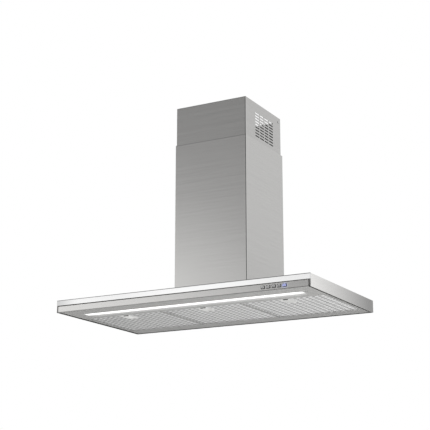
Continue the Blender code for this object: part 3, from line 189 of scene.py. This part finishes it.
def brushedSteel(name, tone=None, roughness=None):
    # returns the finish, whose tone, rough and where a piece can build on
    look = steelLook
    tone = tone or look["tone"]
    roughness = roughness or look["roughness"]
    steel = Finish(name)
    steel.where = steel.place()
    across = look["linesPerMetre"]
    along = look["lineStretch"]
    upright = steel.scaled(steel.where, (along, along, across))
    flat = steel.scaled(steel.where, (along, across, along))
    flatness = steel.ramp(steel.facing(2), 0.6, 0.8)
    grainPlace = steel.blendVectors(flatness, upright, flat)
    fine = steel.noise(grainPlace, look["fineScale"], 3.0, 0.6)
    broad = steel.noise(grainPlace, look["broadScale"], 3.0, 0.6)
    smudge = steel.noise(steel.where, look["smudgeScale"], 3.0)
    grain = fine * look["fineShare"] + broad * (1 - look["fineShare"])
    light = tuple(part * (1 + look["contrast"]) for part in tone)
    shade = tuple(part * (1 - look["contrast"]) for part in tone)
    steel.tone = steel.blend(steel.ramp(grain, 0.32, 0.68), shade, light)
    middle = (look["grainRoughness"] + look["smudgeRoughness"]) / 2
    steel.rough = grain * look["grainRoughness"] + smudge * look["smudgeRoughness"] + (roughness - middle)
    steel.wear(Base_Color=steel.tone, Roughness=steel.rough, Metallic=1.0)
    steel.bump(grain, look["grainDepth"], 0.6)
    return steel


flueLook = {
    "bendLine": 2.6 * mm,  # painted reflection of each front bend: a dark line with a light one beside it
    "bendShade": 0.30,
    "bendGleam": 1.30,
    # painted shade: a dark line near the left edge of the front
    "leftShade": 0.60,
    "leftLine": (1.04 * mm, 2.34 * mm),
    "rimShade": 0.72,  # painted shade along the top edge, where the sheet is cut
    "rim": (3 * mm, 2 * mm),
    # painted shade: the upper cover's steel is a little darker than the lower one's
    "upperGain": 0.94,
}


def tinted(steel, gain):  # the steel's tone times a number
    return steel.scaled(steel.tone, steel.grey(gain))


def flueSteel(name, node, gain=1.0):
    steel = brushedSteel(name, tuple(gain * part for part in steelLook["tone"]))
    look = flueLook
    low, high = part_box(node)
    normal = steel.normal()
    front = steel.axis(normal, 1) < -0.5
    side = steel.axis(normal, 0) > 0.5
    across, depth, height = steel.axes(steel.where)
    outer, inner = 1.3 * look["bendLine"], 0.7 * look["bendLine"]
    leftFrom, leftTo = look["leftLine"]
    rimFrom, rimTo = look["rim"]
    # painted reflection and shade: a dark line beside each front bend, a light one on the side, a darker
    # line at the left end and along the top rim
    dark = front * steel.ramp(across, high[0] - outer, high[0] - inner)
    left = front * steel.ramp(across, low[0] + leftFrom, low[0] + leftTo, 1.0, 0.0)
    bright = side * steel.ramp(depth, low[1] + inner, low[1] + outer, 1.0, 0.0)
    rim = front * steel.ramp(height, high[2] - rimFrom, high[2] - rimTo)
    shade = (1 - dark * (1 - look["bendShade"])) * (1 - left * (1 - look["leftShade"]))
    shade = shade * (1 - rim * (1 - look["rimShade"])) * (1 + bright * (look["bendGleam"] - 1))
    steel.wear(Base_Color=tinted(steel, shade))
    return steel.material


canopyLook = {
    "bandTone": 0.74,
    "bandLift": 22.3 * mm,  # from the underside to the polished band
    "bandReach": 1.6 * mm,  # behind the nearest point
    "bandPolish": 0.06,
    "bandShine": 0.66,  # painted shade: the band is darker at the left end
    "shineSpan": (-0.46, -0.36),
    "bandGlow": 0.44,  # painted highlight: a glow on the band, rising towards the right
    "glowSpan": (-0.20, 0.45),
    # painted reflection: a dark line along the top edge of the band
    "topLine": 0.40,
    "topLineWidth": 2.4 * mm,
    "sideFront": 1.62, "sideRear": 0.42,  # painted shade: the side walls darken towards the rear
    "sideFrom": 3 * mm, "sideEnd": -40 * mm,
}


def canopySteel(name):
    steel = brushedSteel(name)
    look = canopyLook
    (_, nearest, _), (_, _, highest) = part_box("canopy_shell")
    across, depth, height = steel.axes(steel.where)
    # painted reflection and shade: the band's grey, darker to the left, its dark top line, its glow, and the
    # side walls darker to the rear
    band = (height > underside + look["bandLift"]) * (depth < nearest + look["bandReach"])
    edge = band * (height > highest - look["topLineWidth"])
    side = (steel.facing(0) > 0.7) * (depth > nearest + look["sideFrom"])
    wall = steel.ramp(depth, nearest, look["sideEnd"], look["sideFront"], look["sideRear"], False)
    tone = tinted(steel, 1 - side + side * wall)
    shine = steel.ramp(across, *look["shineSpan"], look["bandShine"], 1.0) * look["bandTone"]
    tone = steel.blend(band, tone, steel.grey(shine))
    tone = steel.blend(edge, tone, (look["topLine"] * look["bandTone"],) * 3)
    glow = band * (1 - edge) * steel.ramp(across, *look["glowSpan"], 0.0, look["bandGlow"], False)
    steel.wear(Base_Color=tone, Roughness=steel.rough - band * look["bandPolish"])
    steel.glow(steel.grey(glow))
    return steel.material


panelLook = {
    "glow": 0.22,  # painted light: glow from the bar, painted on the panel beside it
    "reach": 42 * mm,
    "aheadReach": 10.5 * mm, "aheadShare": 0.5,
    "beyondEnd": 10 * mm, "withinEnd": 30 * mm,  # where the glow fades at each end of the bar
    # painted shade: the panel darker towards the rear
    "rearShade": 0.74,
    "rearSpan": (-75 * mm, -60 * mm),
    # painted shade: a dark line along the front edge
    "frontLine": 0.45,
    "frontSpan": (1.2 * mm, 2.4 * mm),
}


def panelSteel(name):
    steel = brushedSteel(name)
    look = panelLook
    (barLeft, barFront, _), (barRight, barRear, _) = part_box("light_diffuser")
    beyond, within = look["beyondEnd"], look["withinEnd"]
    across = steel.axis(steel.where, 0)
    depth = steel.axis(steel.where, 1)
    before, after = depth < barFront, depth > barRear
    behind = steel.ramp(depth, barRear, barRear + look["reach"], 1.0, 0.0) * after
    ahead = steel.ramp(depth, barFront - look["aheadReach"], barFront) * before * look["aheadShare"]
    left = steel.ramp(across, barLeft - beyond, barLeft + within)
    right = steel.ramp(across, barRight - within, barRight + beyond, 1.0, 0.0)
    # painted light: glow beside the bar, fading towards its ends
    glow = (behind + ahead) * (left * right) * look["glow"]
    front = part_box("underside_panel")[0][1]
    lineFrom, lineTo = look["frontSpan"]
    # painted shade: darker towards the rear, and a dark line along the front edge
    shade = steel.ramp(depth, *look["rearSpan"], 1.0, look["rearShade"])
    shade = shade * steel.ramp(depth, front + lineFrom, front + lineTo, look["frontLine"])
    steel.wear(Base_Color=tinted(steel, shade))
    steel.glow(steel.grey(glow))
    return steel.material


stripLook = {
    "halo": (0.10, 0.13, 0.34),  # painted light: a blue glow round the lit key
    "haloReach": 5.5 * mm,
    "haloSquash": 1.25,
    "footShade": 0.5,  # painted shade: a dark line along the bottom edge
    "footSpan": (1.6 * mm, 2.6 * mm),
}


def stripSteel(name):
    steel = brushedSteel(name)
    look = stripLook
    low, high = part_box("button_light")
    middle = tuple((a + b) / 2 for a, b in zip(low, high))
    offset = steel.node("VectorMath", {"operation": "SUBTRACT"}, {0: steel.where, 1: middle})
    flat = steel.scaled(offset, (1.0, 0.0, look["haloSquash"]))
    away = steel.node("VectorMath", {"operation": "LENGTH"}, {0: flat}, out=1)
    edge = (high[0] - low[0]) / 2
    # painted light: blue glow on the strip round the lit key
    glow = steel.ramp(away, edge, edge + look["haloReach"], 1.0, 0.0)
    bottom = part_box("control_fascia")[0][2]
    footFrom, footTo = look["footSpan"]
    # painted shade along the bottom edge
    foot = steel.ramp(steel.axis(steel.where, 2), bottom + footFrom, bottom + footTo, look["footShade"])
    steel.wear(Base_Color=tinted(steel, foot))
    steel.glow(steel.blend(glow, (0.0, 0.0, 0.0), look["halo"]))
    return steel.material


zincLook = {
    "dark": (0.40, 0.42, 0.44), "light": (0.66, 0.67, 0.68),
    "flowerScale": 95.0,
    "ragged": 0.02,  # how far the edges of the flowers wander
    "roughness": 0.30,
}


def galvanised(name):
    zinc = Finish(name)
    look = zincLook
    place = zinc.place()
    wander = zinc.node("TexNoise", {}, {"Vector": place, "Scale": 60.0, "Detail": 2.0}, out=1)
    warp = zinc.blendVectors(look["ragged"], place, wander)
    flower = zinc.node("TexVoronoi", {}, {"Vector": warp, "Scale": look["flowerScale"]}, out=1)
    crystal = zinc.axis(flower, 0)
    stain = zinc.noise(place, 12.0, 5.0)
    tone = crystal * 0.7 + stain * 0.3
    zinc.wear(
        Base_Color=zinc.blend(tone, look["dark"], look["light"]),
        Roughness=tone * 0.25 + look["roughness"], Metallic=1.0,
    )
    zinc.bump(crystal, 0.00004, 0.5)
    return zinc.material


aluminiumLook = {
    "linesPerMetre": 420.0,
    "cloudScale": 28.0,
    "darkest": 0.80,
    # painted shade at the seams, where neighbouring frames meet
    "seamWidth": 0.9 * mm, "seamShade": 0.12,
}


def aluminium(name, tone=(0.70, 0.70, 0.70), roughness=0.36, node=None, metallic=1.0, glow=0.0):
    # with a node, the left and right sides of its box get painted shade, where it meets its neighbours
    metal = Finish(name)
    look = aluminiumLook
    place = metal.place()
    streak = metal.noise(metal.scaled(place, (4.0, look["linesPerMetre"], 4.0)), 1.0, 5.0, 0.65)
    cloud = metal.noise(place, look["cloudScale"], 4.0)
    dark = tuple(look["darkest"] * part for part in tone)
    colour = metal.blend(metal.ramp(streak * 0.6 + cloud * 0.4, 0.3, 0.7), dark, tone)
    if node:
        low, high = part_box(node)
        across = metal.axis(place, 0)
        seam = (across < low[0] + look["seamWidth"]) + (across > high[0] - look["seamWidth"])
        colour = metal.blend(seam, colour, tuple(look["seamShade"] * part for part in tone))
    rough = streak * 0.14 + cloud * 0.08 + (roughness - 0.11)
    metal.wear(Base_Color=colour, Roughness=rough, Metallic=metallic)
    # painted light: an even glow, as strong as glow asks
    metal.glow(metal.blend(cloud, (0.8 * glow,) * 3, (1.2 * glow,) * 3))
    metal.bump(streak + cloud, 0.00003, 0.6)
    return metal.material


def plastic(name, tone, roughness, grit=900.0, depth=0.00003):
    shell = Finish(name)
    place = shell.place()
    sand = shell.noise(place, grit, 2.0)
    flow = shell.noise(place, 14.0, 3.0)
    lighter = tuple(min(1.0, part * 1.25 + 0.008) for part in tone)
    shell.wear(
        Base_Color=shell.blend(shell.ramp(flow, 0.3, 0.7), tone, lighter),
        Roughness=sand * 0.12 + flow * 0.06 + (roughness - 0.09),
    )
    shell.bump(sand, depth, 0.6)
    return shell.material


def circuitBoard(name, tone):
    board = Finish(name)
    place = board.place()
    tracks = board.node("TexBrick", {"offset": 0.3}, {
        "Vector": board.node("Mapping", {}, {"Vector": place, "Rotation": (math.radians(90), 0, 0)}),
        "Color1": (1.0, 1.0, 1.0), "Color2": (0.7, 0.7, 0.7), "Mortar": (0.0, 0.0, 0.0),
        "Scale": 60.0, "Mortar Size": 0.02, "Brick Width": 0.35, "Row Height": 0.12,
    }, out=1)
    copper = tuple(0.5 * part + 0.2 for part in tone)
    board.wear(Base_Color=board.blend(tracks, tone, copper), Roughness=board.noise(place, 300.0) * 0.2 + 0.3)
    board.bump(tracks, 0.00003)
    return board.material


opalLook = {
    "endTone": 0.35, "frontTone": 0.45, "rearTone": 0.3,
    "beyondEnd": 6 * mm, "withinEnd": 26 * mm,
}


def opalGlow(name, tone, strength, node):
    # brightest along the middle of the piece, softer towards its long edges and its ends
    opal = Finish(name)
    look = opalLook
    beyond, within = look["beyondEnd"], look["withinEnd"]
    place = opal.place()
    low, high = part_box(node)
    haze = opal.noise(opal.scaled(place, (2.0, 30.0, 30.0)), 3.0, 3.0)
    across = opal.axis(place, 0)
    depth = opal.axis(place, 1)
    width = high[1] - low[1]
    left = opal.ramp(across, low[0] - beyond, low[0] + within, look["endTone"])
    right = opal.ramp(across, high[0] - within, high[0] + beyond, 1.0, look["endTone"])
    front = opal.ramp(depth, low[1] - 1 * mm, low[1] + width * 0.3, look["frontTone"])
    rear = opal.ramp(depth, high[1] - width * 0.75, high[1], 1.0, look["rearTone"])
    core = (left * right) * (front * rear) * (haze * 0.1 + 0.95)
    opal.wear(Base_Color=tone, Roughness=haze * 0.1 + 0.25)
    opal.glow(opal.blend(core, tuple(0.1 * part for part in tone), tone), strength)
    opal.bump(haze, 0.00002, 0.4)
    return opal.material


def litLens(name, tone, strength):
    lens = Finish(name)
    cloud = lens.noise(lens.place(), 400.0, 2.0)
    colour = lens.blend(cloud, tuple(0.8 * part for part in tone), tone)
    lens.wear(Base_Color=colour, Roughness=cloud * 0.1 + 0.15)
    lens.glow(colour, strength)
    lens.bump(cloud, 0.00002, 0.4)
    return lens.material


def lacquer(name):
    coat = Finish(name)
    place = coat.place()
    sheets = coat.node("TexWave", {"wave_type": "BANDS", "bands_direction": "X"}, {
        "Vector": place, "Scale": 400.0, "Distortion": 0.4, "Detail": 1.0}, out=1)
    dust = coat.noise(place, 70.0, 4.0)
    coat.wear(
        Base_Color=coat.blend(sheets * 0.5 + dust * 0.5, (0.16, 0.16, 0.17), (0.36, 0.36, 0.37)),
        Roughness=dust * 0.25 + 0.30, Metallic=0.8,
    )
    coat.bump(sheets, 0.0001, 0.5)
    return coat.material


def sheath(name):
    rubber = Finish(name)
    place = rubber.place()
    scuff = rubber.noise(place, 220.0, 3.0)
    colour = rubber.blend(scuff, (0.02, 0.02, 0.02), (0.07, 0.07, 0.07))
    rubber.wear(Base_Color=colour, Roughness=scuff * 0.2 + 0.4)
    rubber.bump(scuff, 0.00005, 0.5)
    return rubber.material


finishes = {
    "brushed_steel": brushedSteel("satinSteel").material,
    "polished_steel": brushedSteel("brightSteel", (0.8, 0.8, 0.8), 0.16).material,
    "zinc_sheet": galvanised("spangledZinc"),
    "aluminium": aluminium("filterAluminium"),
    "opal_plastic": opalGlow("opalDiffuser", (1.0, 1.0, 0.99), 1.3, "light_diffuser"),
    "black_plastic": plastic("blackMoulding", (0.022, 0.022, 0.023), 0.45),
    "black_paint": plastic("blackPaint", (0.016, 0.016, 0.016), 0.62, 500.0),
    "grey_plastic": plastic("greyMoulding", (0.26, 0.265, 0.27), 0.5),
    "circuit_board": circuitBoard("greenBoard", (0.03, 0.14, 0.06)),
    "light_board": circuitBoard("whiteBoard", (0.7, 0.7, 0.68)),
    "blue_lens": litLens("blueLens", (0.36, 0.42, 1.0), 0.95),
    "motor_steel": lacquer("motorLacquer"),
    "cable_sheath": sheath("blackSheath"),
}
print("finishes made:", len(finishes))


def paint(piece, material):
    piece.data.materials.clear()
    piece.data.materials.append(material)


for part in frame["record"]["subparts"]:
    paint(frame["nodes"][part["node"]], finishes[part["material_slot"]])
paint(frame["nodes"]["lower_flue"], flueSteel("lowerFlueSteel", "lower_flue"))
paint(frame["nodes"]["upper_flue"], flueSteel("upperFlueSteel", "upper_flue", flueLook["upperGain"]))
paint(frame["nodes"]["canopy_shell"], canopySteel("canopySteel"))
paint(frame["nodes"]["underside_panel"], panelSteel("panelSteel"))
paint(frame["nodes"]["control_fascia"], stripSteel("stripSteel"))
# the handles get a painted glow, as painted light in their shaded pockets; the frames get painted shade
# along their sides where they meet
handleFinish = aluminium("handleAluminium", (0.95, 0.95, 0.94), 0.45, metallic=0.2, glow=0.14)
filterSides = ("left", "centre", "right")
for side in filterSides:
    node = f"filter_frame_{side}"
    frameFinish = aluminium(f"frameAluminium_{side}", (0.86, 0.86, 0.85), node=node, metallic=0.35)
    paint(frame["nodes"][node], frameFinish)
    paint(frame["nodes"][f"filter_handle_{side}"], handleFinish)


def addPiece(name, mesh, material, body, smooth=None):
    if isinstance(mesh, bmesh.types.BMesh):
        bmesh.ops.recalc_face_normals(mesh, faces=mesh.faces)
        data = bpy.data.meshes.new(name)
        mesh.to_mesh(data)
        mesh.free()
        mesh = data
    if smooth:
        mesh.shade_smooth()
        mesh.set_sharp_from_angle(angle=math.radians(smooth))
    piece = bpy.data.objects.new(name, mesh)
    bpy.context.collection.objects.link(piece)
    paint(piece, material)
    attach(piece, body)
    return piece


def block(bm, low, high):
    made = bmesh.ops.create_cube(bm, size=1.0)["verts"]
    low, high = Vector(low), Vector(high)
    bmesh.ops.scale(bm, vec=high - low, verts=made)
    bmesh.ops.translate(bm, vec=(low + high) / 2, verts=made)


def turned(bm, profile, steps, spot):
    # a profile of (radius, distance along X) turned about X and closed at both ends
    rings = []
    for radius, along in profile:
        ring = []
        for i in range(steps):
            turn = i * math.tau / steps
            corner = Vector((along, radius * math.cos(turn), radius * math.sin(turn)))
            ring.append(bm.verts.new(spot + corner))
        rings.append(ring)
    for first, second in zip(rings, rings[1:]):
        for i in range(steps):
            j = (i + 1) % steps
            bm.faces.new((first[i], first[j], second[j], second[i]))
    bm.faces.new(rings[0])
    bm.faces.new(rings[-1])


filterMesh = {
    "longWay": 11 * mm,  # pitch of the diamonds along the width
    "shortWay": 6.5 * mm,
    "strand": 2.3 * mm,
    "thickness": 0.5 * mm,
    "dimplePitch": (20.6 * mm, 21.3 * mm),  # the sheet is pressed into low round bumps
    "dimpleHeight": 1.2 * mm,
    "tilt": 0.3 * mm,  # of each strand where it meets the next
    "level": 1.4 * mm,  # of the sheet above the bottom of its box
    "handle": (36 * mm, 62 * mm),
    "handleFromFront": 6.7 * mm,
    "handleGap": 1 * mm,
    "layerLift": 1.9 * mm,
    "layerThickness": 0.8 * mm,
}


padLook = {
    # painted shading of the bumps: lighter on them, darker between them, and darker still on the layers
    # behind
    "bumpTone": (1.0, 0.90),  # of the strands, and of the layers behind them
    "valleyTone": (0.50, 0.30),
    "metallic": 0.15,
    "shine": (0.03, 0.18),  # painted highlight: glow on the bumps, at the left and right ends
    "shineSpan": (-0.4, 0.4),
    "scratchDepth": (0.00004, 0.00024),
}


def padHeight(x, y):  # -1 on top of a bump, 1 between bumps
    pitchX, pitchY = filterMesh["dimplePitch"]
    return -math.cos(math.tau * x / pitchX) * (0.45 + 0.55 * math.cos(math.tau * y / pitchY))


def meshPad(side):
    # expanded metal: zigzag strands that meet at every other corner, pressed into low bumps
    low, high = (Vector(corner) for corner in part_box(f"filter_mesh_{side}"))
    middle = (low.x + high.x) / 2
    look = filterMesh
    halfHandle = look["handle"][0] / 2
    handleFront = low.y + look["handleFromFront"]
    handleRear = handleFront + look["handle"][1]
    stepX, stepY = look["longWay"] / 2, look["shortWay"] / 2
    columns = int((high.x - low.x) / stepX)
    rows = int((high.y - low.y) / stepY)
    half = look["strand"] / 2
    gap = look["handleGap"]
    thick = look["thickness"]
    verts, faces = [], []
    for row in range(rows):
        run = None
        for column in range(columns + 1):
            x = min(low.x + column * stepX, high.x)
            y = low.y + (row + (column + row) % 2) * stepY
            inHandle = abs(x - middle) < halfHandle + gap and handleFront - gap < y < handleRear + gap
            if inHandle or y > high.y:
                run = None
                continue
            z = low.z + look["level"] + look["dimpleHeight"] * padHeight(x - middle, y)
            tilt = look["tilt"] if (column + row) % 2 else -look["tilt"]
            start = len(verts)
            verts += [(x, y - half, z - tilt), (x, y + half, z + tilt)]
            verts += [(x, y + half, z + tilt + thick), (x, y - half, z - tilt + thick)]
            if run is None:
                faces.append((start, start + 1, start + 2, start + 3))
            else:
                for a in range(4):
                    b = (a + 1) % 4
                    faces.append((run + a, run + b, start + b, start + a))
            run = start
    data = bpy.data.meshes.new(f"meshPad_{side}")
    data.from_pydata(verts, [], faces)
    strands = padMetal(f"strandAluminium_{side}", middle, 0)
    piece = addPiece(f"meshPad_{side}", data, strands, f"filter_{side}")
    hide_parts(f"filter_mesh_{side}")

    backing = bmesh.new()  # the inner layers of the pad, seen through the strands
    bottom = low.z + look["level"] + look["layerLift"]
    spans = [
        ((low.x, low.y), (middle - halfHandle, high.y)), ((middle + halfHandle, low.y), (high.x, high.y)),
        ((middle - halfHandle, handleRear), (middle + halfHandle, high.y)),
        ((middle - halfHandle, low.y), (middle + halfHandle, handleFront)),
    ]
    for (x0, y0), (x1, y1) in spans:
        block(backing, (x0, y0, bottom), (x1, y1, bottom + look["layerThickness"]))
    layers = padMetal(f"innerLayers_{side}", middle, 1)
    addPiece(f"innerLayers_{side}", backing, layers, f"filter_{side}")


def padMetal(name, middle, layer):
    # dull aluminium with painted shading, lighter on the bumps and darker between them; layer 0 is the
    # strands, 1 what is behind
    metal = Finish(name)
    look = padLook
    place = metal.place()
    pitchX, pitchY = filterMesh["dimplePitch"]
    across = (metal.axis(place, 0) - middle) * (math.tau / pitchX)
    depth = metal.axis(place, 1) * (math.tau / pitchY)
    bump = across.math("COSINE", across) * (depth.math("COSINE", depth) * 0.36 + 0.26) + 0.36
    scratch = metal.noise(metal.scaled(place, (40.0, 300.0, 40.0)), 1.0, 4.0, 0.6)
    paintedBumpShade = metal.ramp(bump + scratch * 0.2, 0.15, 0.75)
    valley, top = look["valleyTone"][layer], look["bumpTone"][layer]
    # painted highlight: glow on the bumps, rising from left to right
    shine = (paintedBumpShade * 0.7 + 0.3) * metal.ramp(metal.axis(place, 0), *look["shineSpan"], *look["shine"], False)
    metal.wear(
        Base_Color=metal.blend(paintedBumpShade, (valley,) * 3, (top,) * 3),
        Roughness=scratch * 0.16 + 0.36, Metallic=look["metallic"],
    )
    metal.glow(metal.grey(shine))
    metal.bump(scratch, look["scratchDepth"][layer], 0.6)
    return metal.material


for side in filterSides:
    meshPad(side)
print("filter meshes made")


keyLook = {
    "width": 10.4 * mm,
    "height": 6.39 * mm,
    "corner": 1.1 * mm,
    "edge": 0.4 * mm,
    "border": 1.6 * mm,  # flat, round the dished face
    "dish": 0.2 * mm,
    "flange": 1.2 * mm,  # the wider plate that holds the key in its guide
}


def keyCap(node):
    low, high = (Vector(corner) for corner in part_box(node))
    middle = (low + high) / 2
    look = keyLook
    halfX, halfZ = look["width"] / 2, look["height"] / 2
    bm = bmesh.new()
    block(bm, (middle.x - halfX, low.y, middle.z - halfZ), (middle.x + halfX, high.y, middle.z + halfZ))
    depthwise = [edge for edge in bm.edges if abs((edge.verts[0].co - edge.verts[1].co).y) > 1 * mm]
    bmesh.ops.bevel(bm, geom=depthwise, offset=look["corner"], segments=4, profile=0.5, affect="EDGES")
    rim = [edge for edge in bm.edges if all(vert.co.y < low.y + 0.01 * mm for vert in edge.verts)]
    bmesh.ops.bevel(bm, geom=rim, offset=look["edge"], segments=3, profile=0.5, affect="EDGES")
    face = min(bm.faces, key=lambda each: each.calc_center_median().y)
    bmesh.ops.inset_region(bm, faces=[face], thickness=look["border"], use_even_offset=True)
    face = min(bm.faces, key=lambda each: (round(each.calc_center_median().y, 7), -each.calc_area()))
    for vert in face.verts:
        vert.co.y += look["dish"]
    block(bm, (low.x, high.y - look["flange"], low.z), (high.x, high.y, high.z))
    piece = addPiece("keyCap_" + node.removeprefix("button_"), bm, keySteel, node, 35)
    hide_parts(node)


keySteel = brushedSteel("keySatin", (0.70, 0.70, 0.70), 0.30).material
for node in ("button_off", "button_slow", "button_medium", "button_fast", "button_light"):
    keyCap(node)
print("keys made")


screwLook = {
    "head": 1.6 * mm,
    "arm": 1.1 * mm, "slot": 0.28 * mm,  # half the length and half the width of each slot
    "slotDepth": 0.3 * mm,
    "slotLift": 0.02 * mm,
    "point": 1.5 * mm,
}


def screwHead(node, body):
    # pan head with a cross recess, in place of the plain one; the recess is painted shadow, a thin black
    # cross on the head
    low, high = (Vector(corner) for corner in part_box(node))
    side = 1 if high.x > 0 else -1
    middle = (low + high) / 2
    outer = high.x if side > 0 else low.x
    inner = low.x if side > 0 else high.x
    radius = (high.z - low.z) / 2
    head = screwLook["head"]
    spot = Vector((outer, middle.y, middle.z))
    shank = radius / 2
    tip = inner - outer
    profile = [
        (shank * 0.5, tip), (shank, tip + side * screwLook["point"]), (shank, -side * head),
        (radius, -side * head), (radius, -side * head * 0.62), (radius * 0.86, -side * head * 0.3),
        (radius * 0.62, -side * head * 0.08), (radius * 0.36, 0),
    ]
    bm = bmesh.new()
    turned(bm, profile, 24, spot)
    piece = addPiece(node + "_crossHead", bm, finishes["polished_steel"], body, 40)
    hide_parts(node)
    # painted shadow: the recess is not cut, a thin black block in the shape of the slots stands for it
    recessShadow = bmesh.new()
    arm, thin = screwLook["arm"], screwLook["slot"]
    x0, x1 = sorted((outer - side * screwLook["slotDepth"], outer + side * screwLook["slotLift"]))
    block(recessShadow, (x0, middle.y - arm, middle.z - thin), (x1, middle.y + arm, middle.z + thin))
    block(recessShadow, (x0, middle.y - thin, middle.z - arm), (x1, middle.y + thin, middle.z + arm))
    addPiece(node + "_recess", recessShadow, finishes["black_plastic"], body)


for name in ("left", "right"):
    screwHead(f"flue_screw_{name}", "hood")
    screwHead(f"bracket_screw_{name}", "upper_flue_set")


stageLook = {
    "floorDrop": 1.45,  # floor below the underside
    "floorTone": (0.86, 0.86, 0.85),
    "floorSize": 40.0,
}


def stageRoom():
    bm = bmesh.new()
    bmesh.ops.create_grid(bm, x_segments=8, y_segments=8, size=stageLook["floorSize"])
    data = bpy.data.meshes.new("floor")
    bm.to_mesh(data)
    bm.free()
    floor = bpy.data.objects.new("floor", data)
    floor.location = (0, 0, underside - stageLook["floorDrop"])
    bpy.context.collection.objects.link(floor)
    pale = Finish("paleFloor")
    dust = pale.noise(pale.place(), 3.0, 4.0)
    tone = stageLook["floorTone"]
    colour = pale.blend(dust, tuple(0.98 * part for part in tone), tone)
    pale.wear(Base_Color=colour, Roughness=dust * 0.1 + 0.6)
    paint(floor, pale.material)


skyLook = {
    "frontFarLeft": 1.40, "frontLeft": 1.27, "frontRight": 0.45,  # room in front, near the horizon
    "frontHigh": 0.36,
    "backLow": 0.60, "backHigh": 0.80,
    "darkStrip": 0.12,  # a black flag to the right of the front
    "overhead": 0.20,
    "sideGain": 1.75,
    "farLeftEdge": (-0.60, -0.54), "leftEdge": (-0.50, -0.39),  # directions, from left to right
    "flagStart": (0.02, 0.14), "flagEnd": (0.45, 0.55),
    "sideEdge": (0.395, 0.415), "frontEnd": (0.5, 0.7),
    "backHorizon": (0.18, 0.24), "frontHorizon": (0.205, 0.288),  # directions, upwards
    "overheadEdge": (0.5, 0.7),
    "frontToBack": (-0.15, 0.15),
}


def stageSky():
    world = bpy.data.worlds.new("studio")
    bpy.context.scene.world = world
    sky = Finish("studio", world)
    look = skyLook
    towards = sky.node("TexCoord", out=0)
    x, y, z = sky.axes(towards)

    def mix(factor, first, second):
        return sky.node("Mix", {}, {0: factor, 2: first, 3: second})

    low = sky.ramp(x, *look["leftEdge"], look["frontLeft"], look["frontRight"])
    low = low + sky.ramp(x, *look["farLeftEdge"], look["frontFarLeft"] - look["frontLeft"], 0.0)
    front = mix(sky.ramp(z, *look["frontHorizon"]), low, look["frontHigh"])
    flag = sky.ramp(x, *look["flagStart"]) * sky.ramp(x, *look["flagEnd"], 1.0, 0.0)
    front = mix(flag, front, look["darkStrip"])
    front = mix(sky.ramp(x, *look["frontEnd"]), front, look["backHigh"])
    side = sky.ramp(x, *look["sideEdge"], look["sideGain"], 1.0) * look["backLow"]
    back = mix(sky.ramp(z, *look["backHorizon"]), side, look["backHigh"])
    tone = mix(sky.ramp(y, *look["frontToBack"]), front, back)
    tone = mix(sky.ramp(z, *look["overheadEdge"]), tone, look["overhead"])
    isCamera = sky.node("LightPath", out=0)
    tone = tone * (1 - isCamera) + isCamera  # the camera sees plain white
    background = sky.tree.nodes["Background"]
    plug(sky.tree, background.inputs["Color"], sky.grey(tone))
    background.inputs["Strength"].default_value = 1.0


lampLook = {
    "overheadSoftBox": {"place": (-0.4, -0.9, 3.2), "target": (0, -0.2, 0), "size": 2.6, "watts": 120},
    "floorSoftBox": {  # what the underside mirrors
        "place": (-2.0, 5.4, 1.0), "target": (-2.0, 5.41, -1.7), "size": 1.6, "watts": 26,
    },
}


def softBox(name, place, target, size, watts):
    data = bpy.data.lights.new(name, "AREA")
    data.shape = "DISK"
    data.size = size
    data.energy = watts
    lamp = bpy.data.objects.new(name, data)
    lamp.visible_camera = False
    lamp.location = place
    lamp.rotation_euler = (Vector(target) - Vector(place)).to_track_quat("-Z", "Y").to_euler()
    bpy.context.collection.objects.link(lamp)


cameraLook = {
    "place": (1.8507, -3.6173, -0.7027 + underside),
    "turn": 28.75,
    "tilt": 14.99,
    "lens": 100.89,
    "sensor": 36.0,
    "clipEnd": 60.0,
}


def stageCamera():
    look = cameraLook
    data = bpy.data.cameras.new("view")
    data.lens = look["lens"]
    data.sensor_width = look["sensor"]
    data.clip_end = look["clipEnd"]
    camera = bpy.data.objects.new("view", data)
    camera.location = look["place"]
    camera.rotation_euler = (math.radians(90 + look["tilt"]), 0, math.radians(look["turn"]))
    bpy.context.collection.objects.link(camera)
    bpy.context.scene.camera = camera


stageRoom()
stageSky()
for name, look in lampLook.items():
    softBox(name, **look)
stageCamera()
bpy.context.scene.view_settings.view_transform = "Standard"
print("stage set")
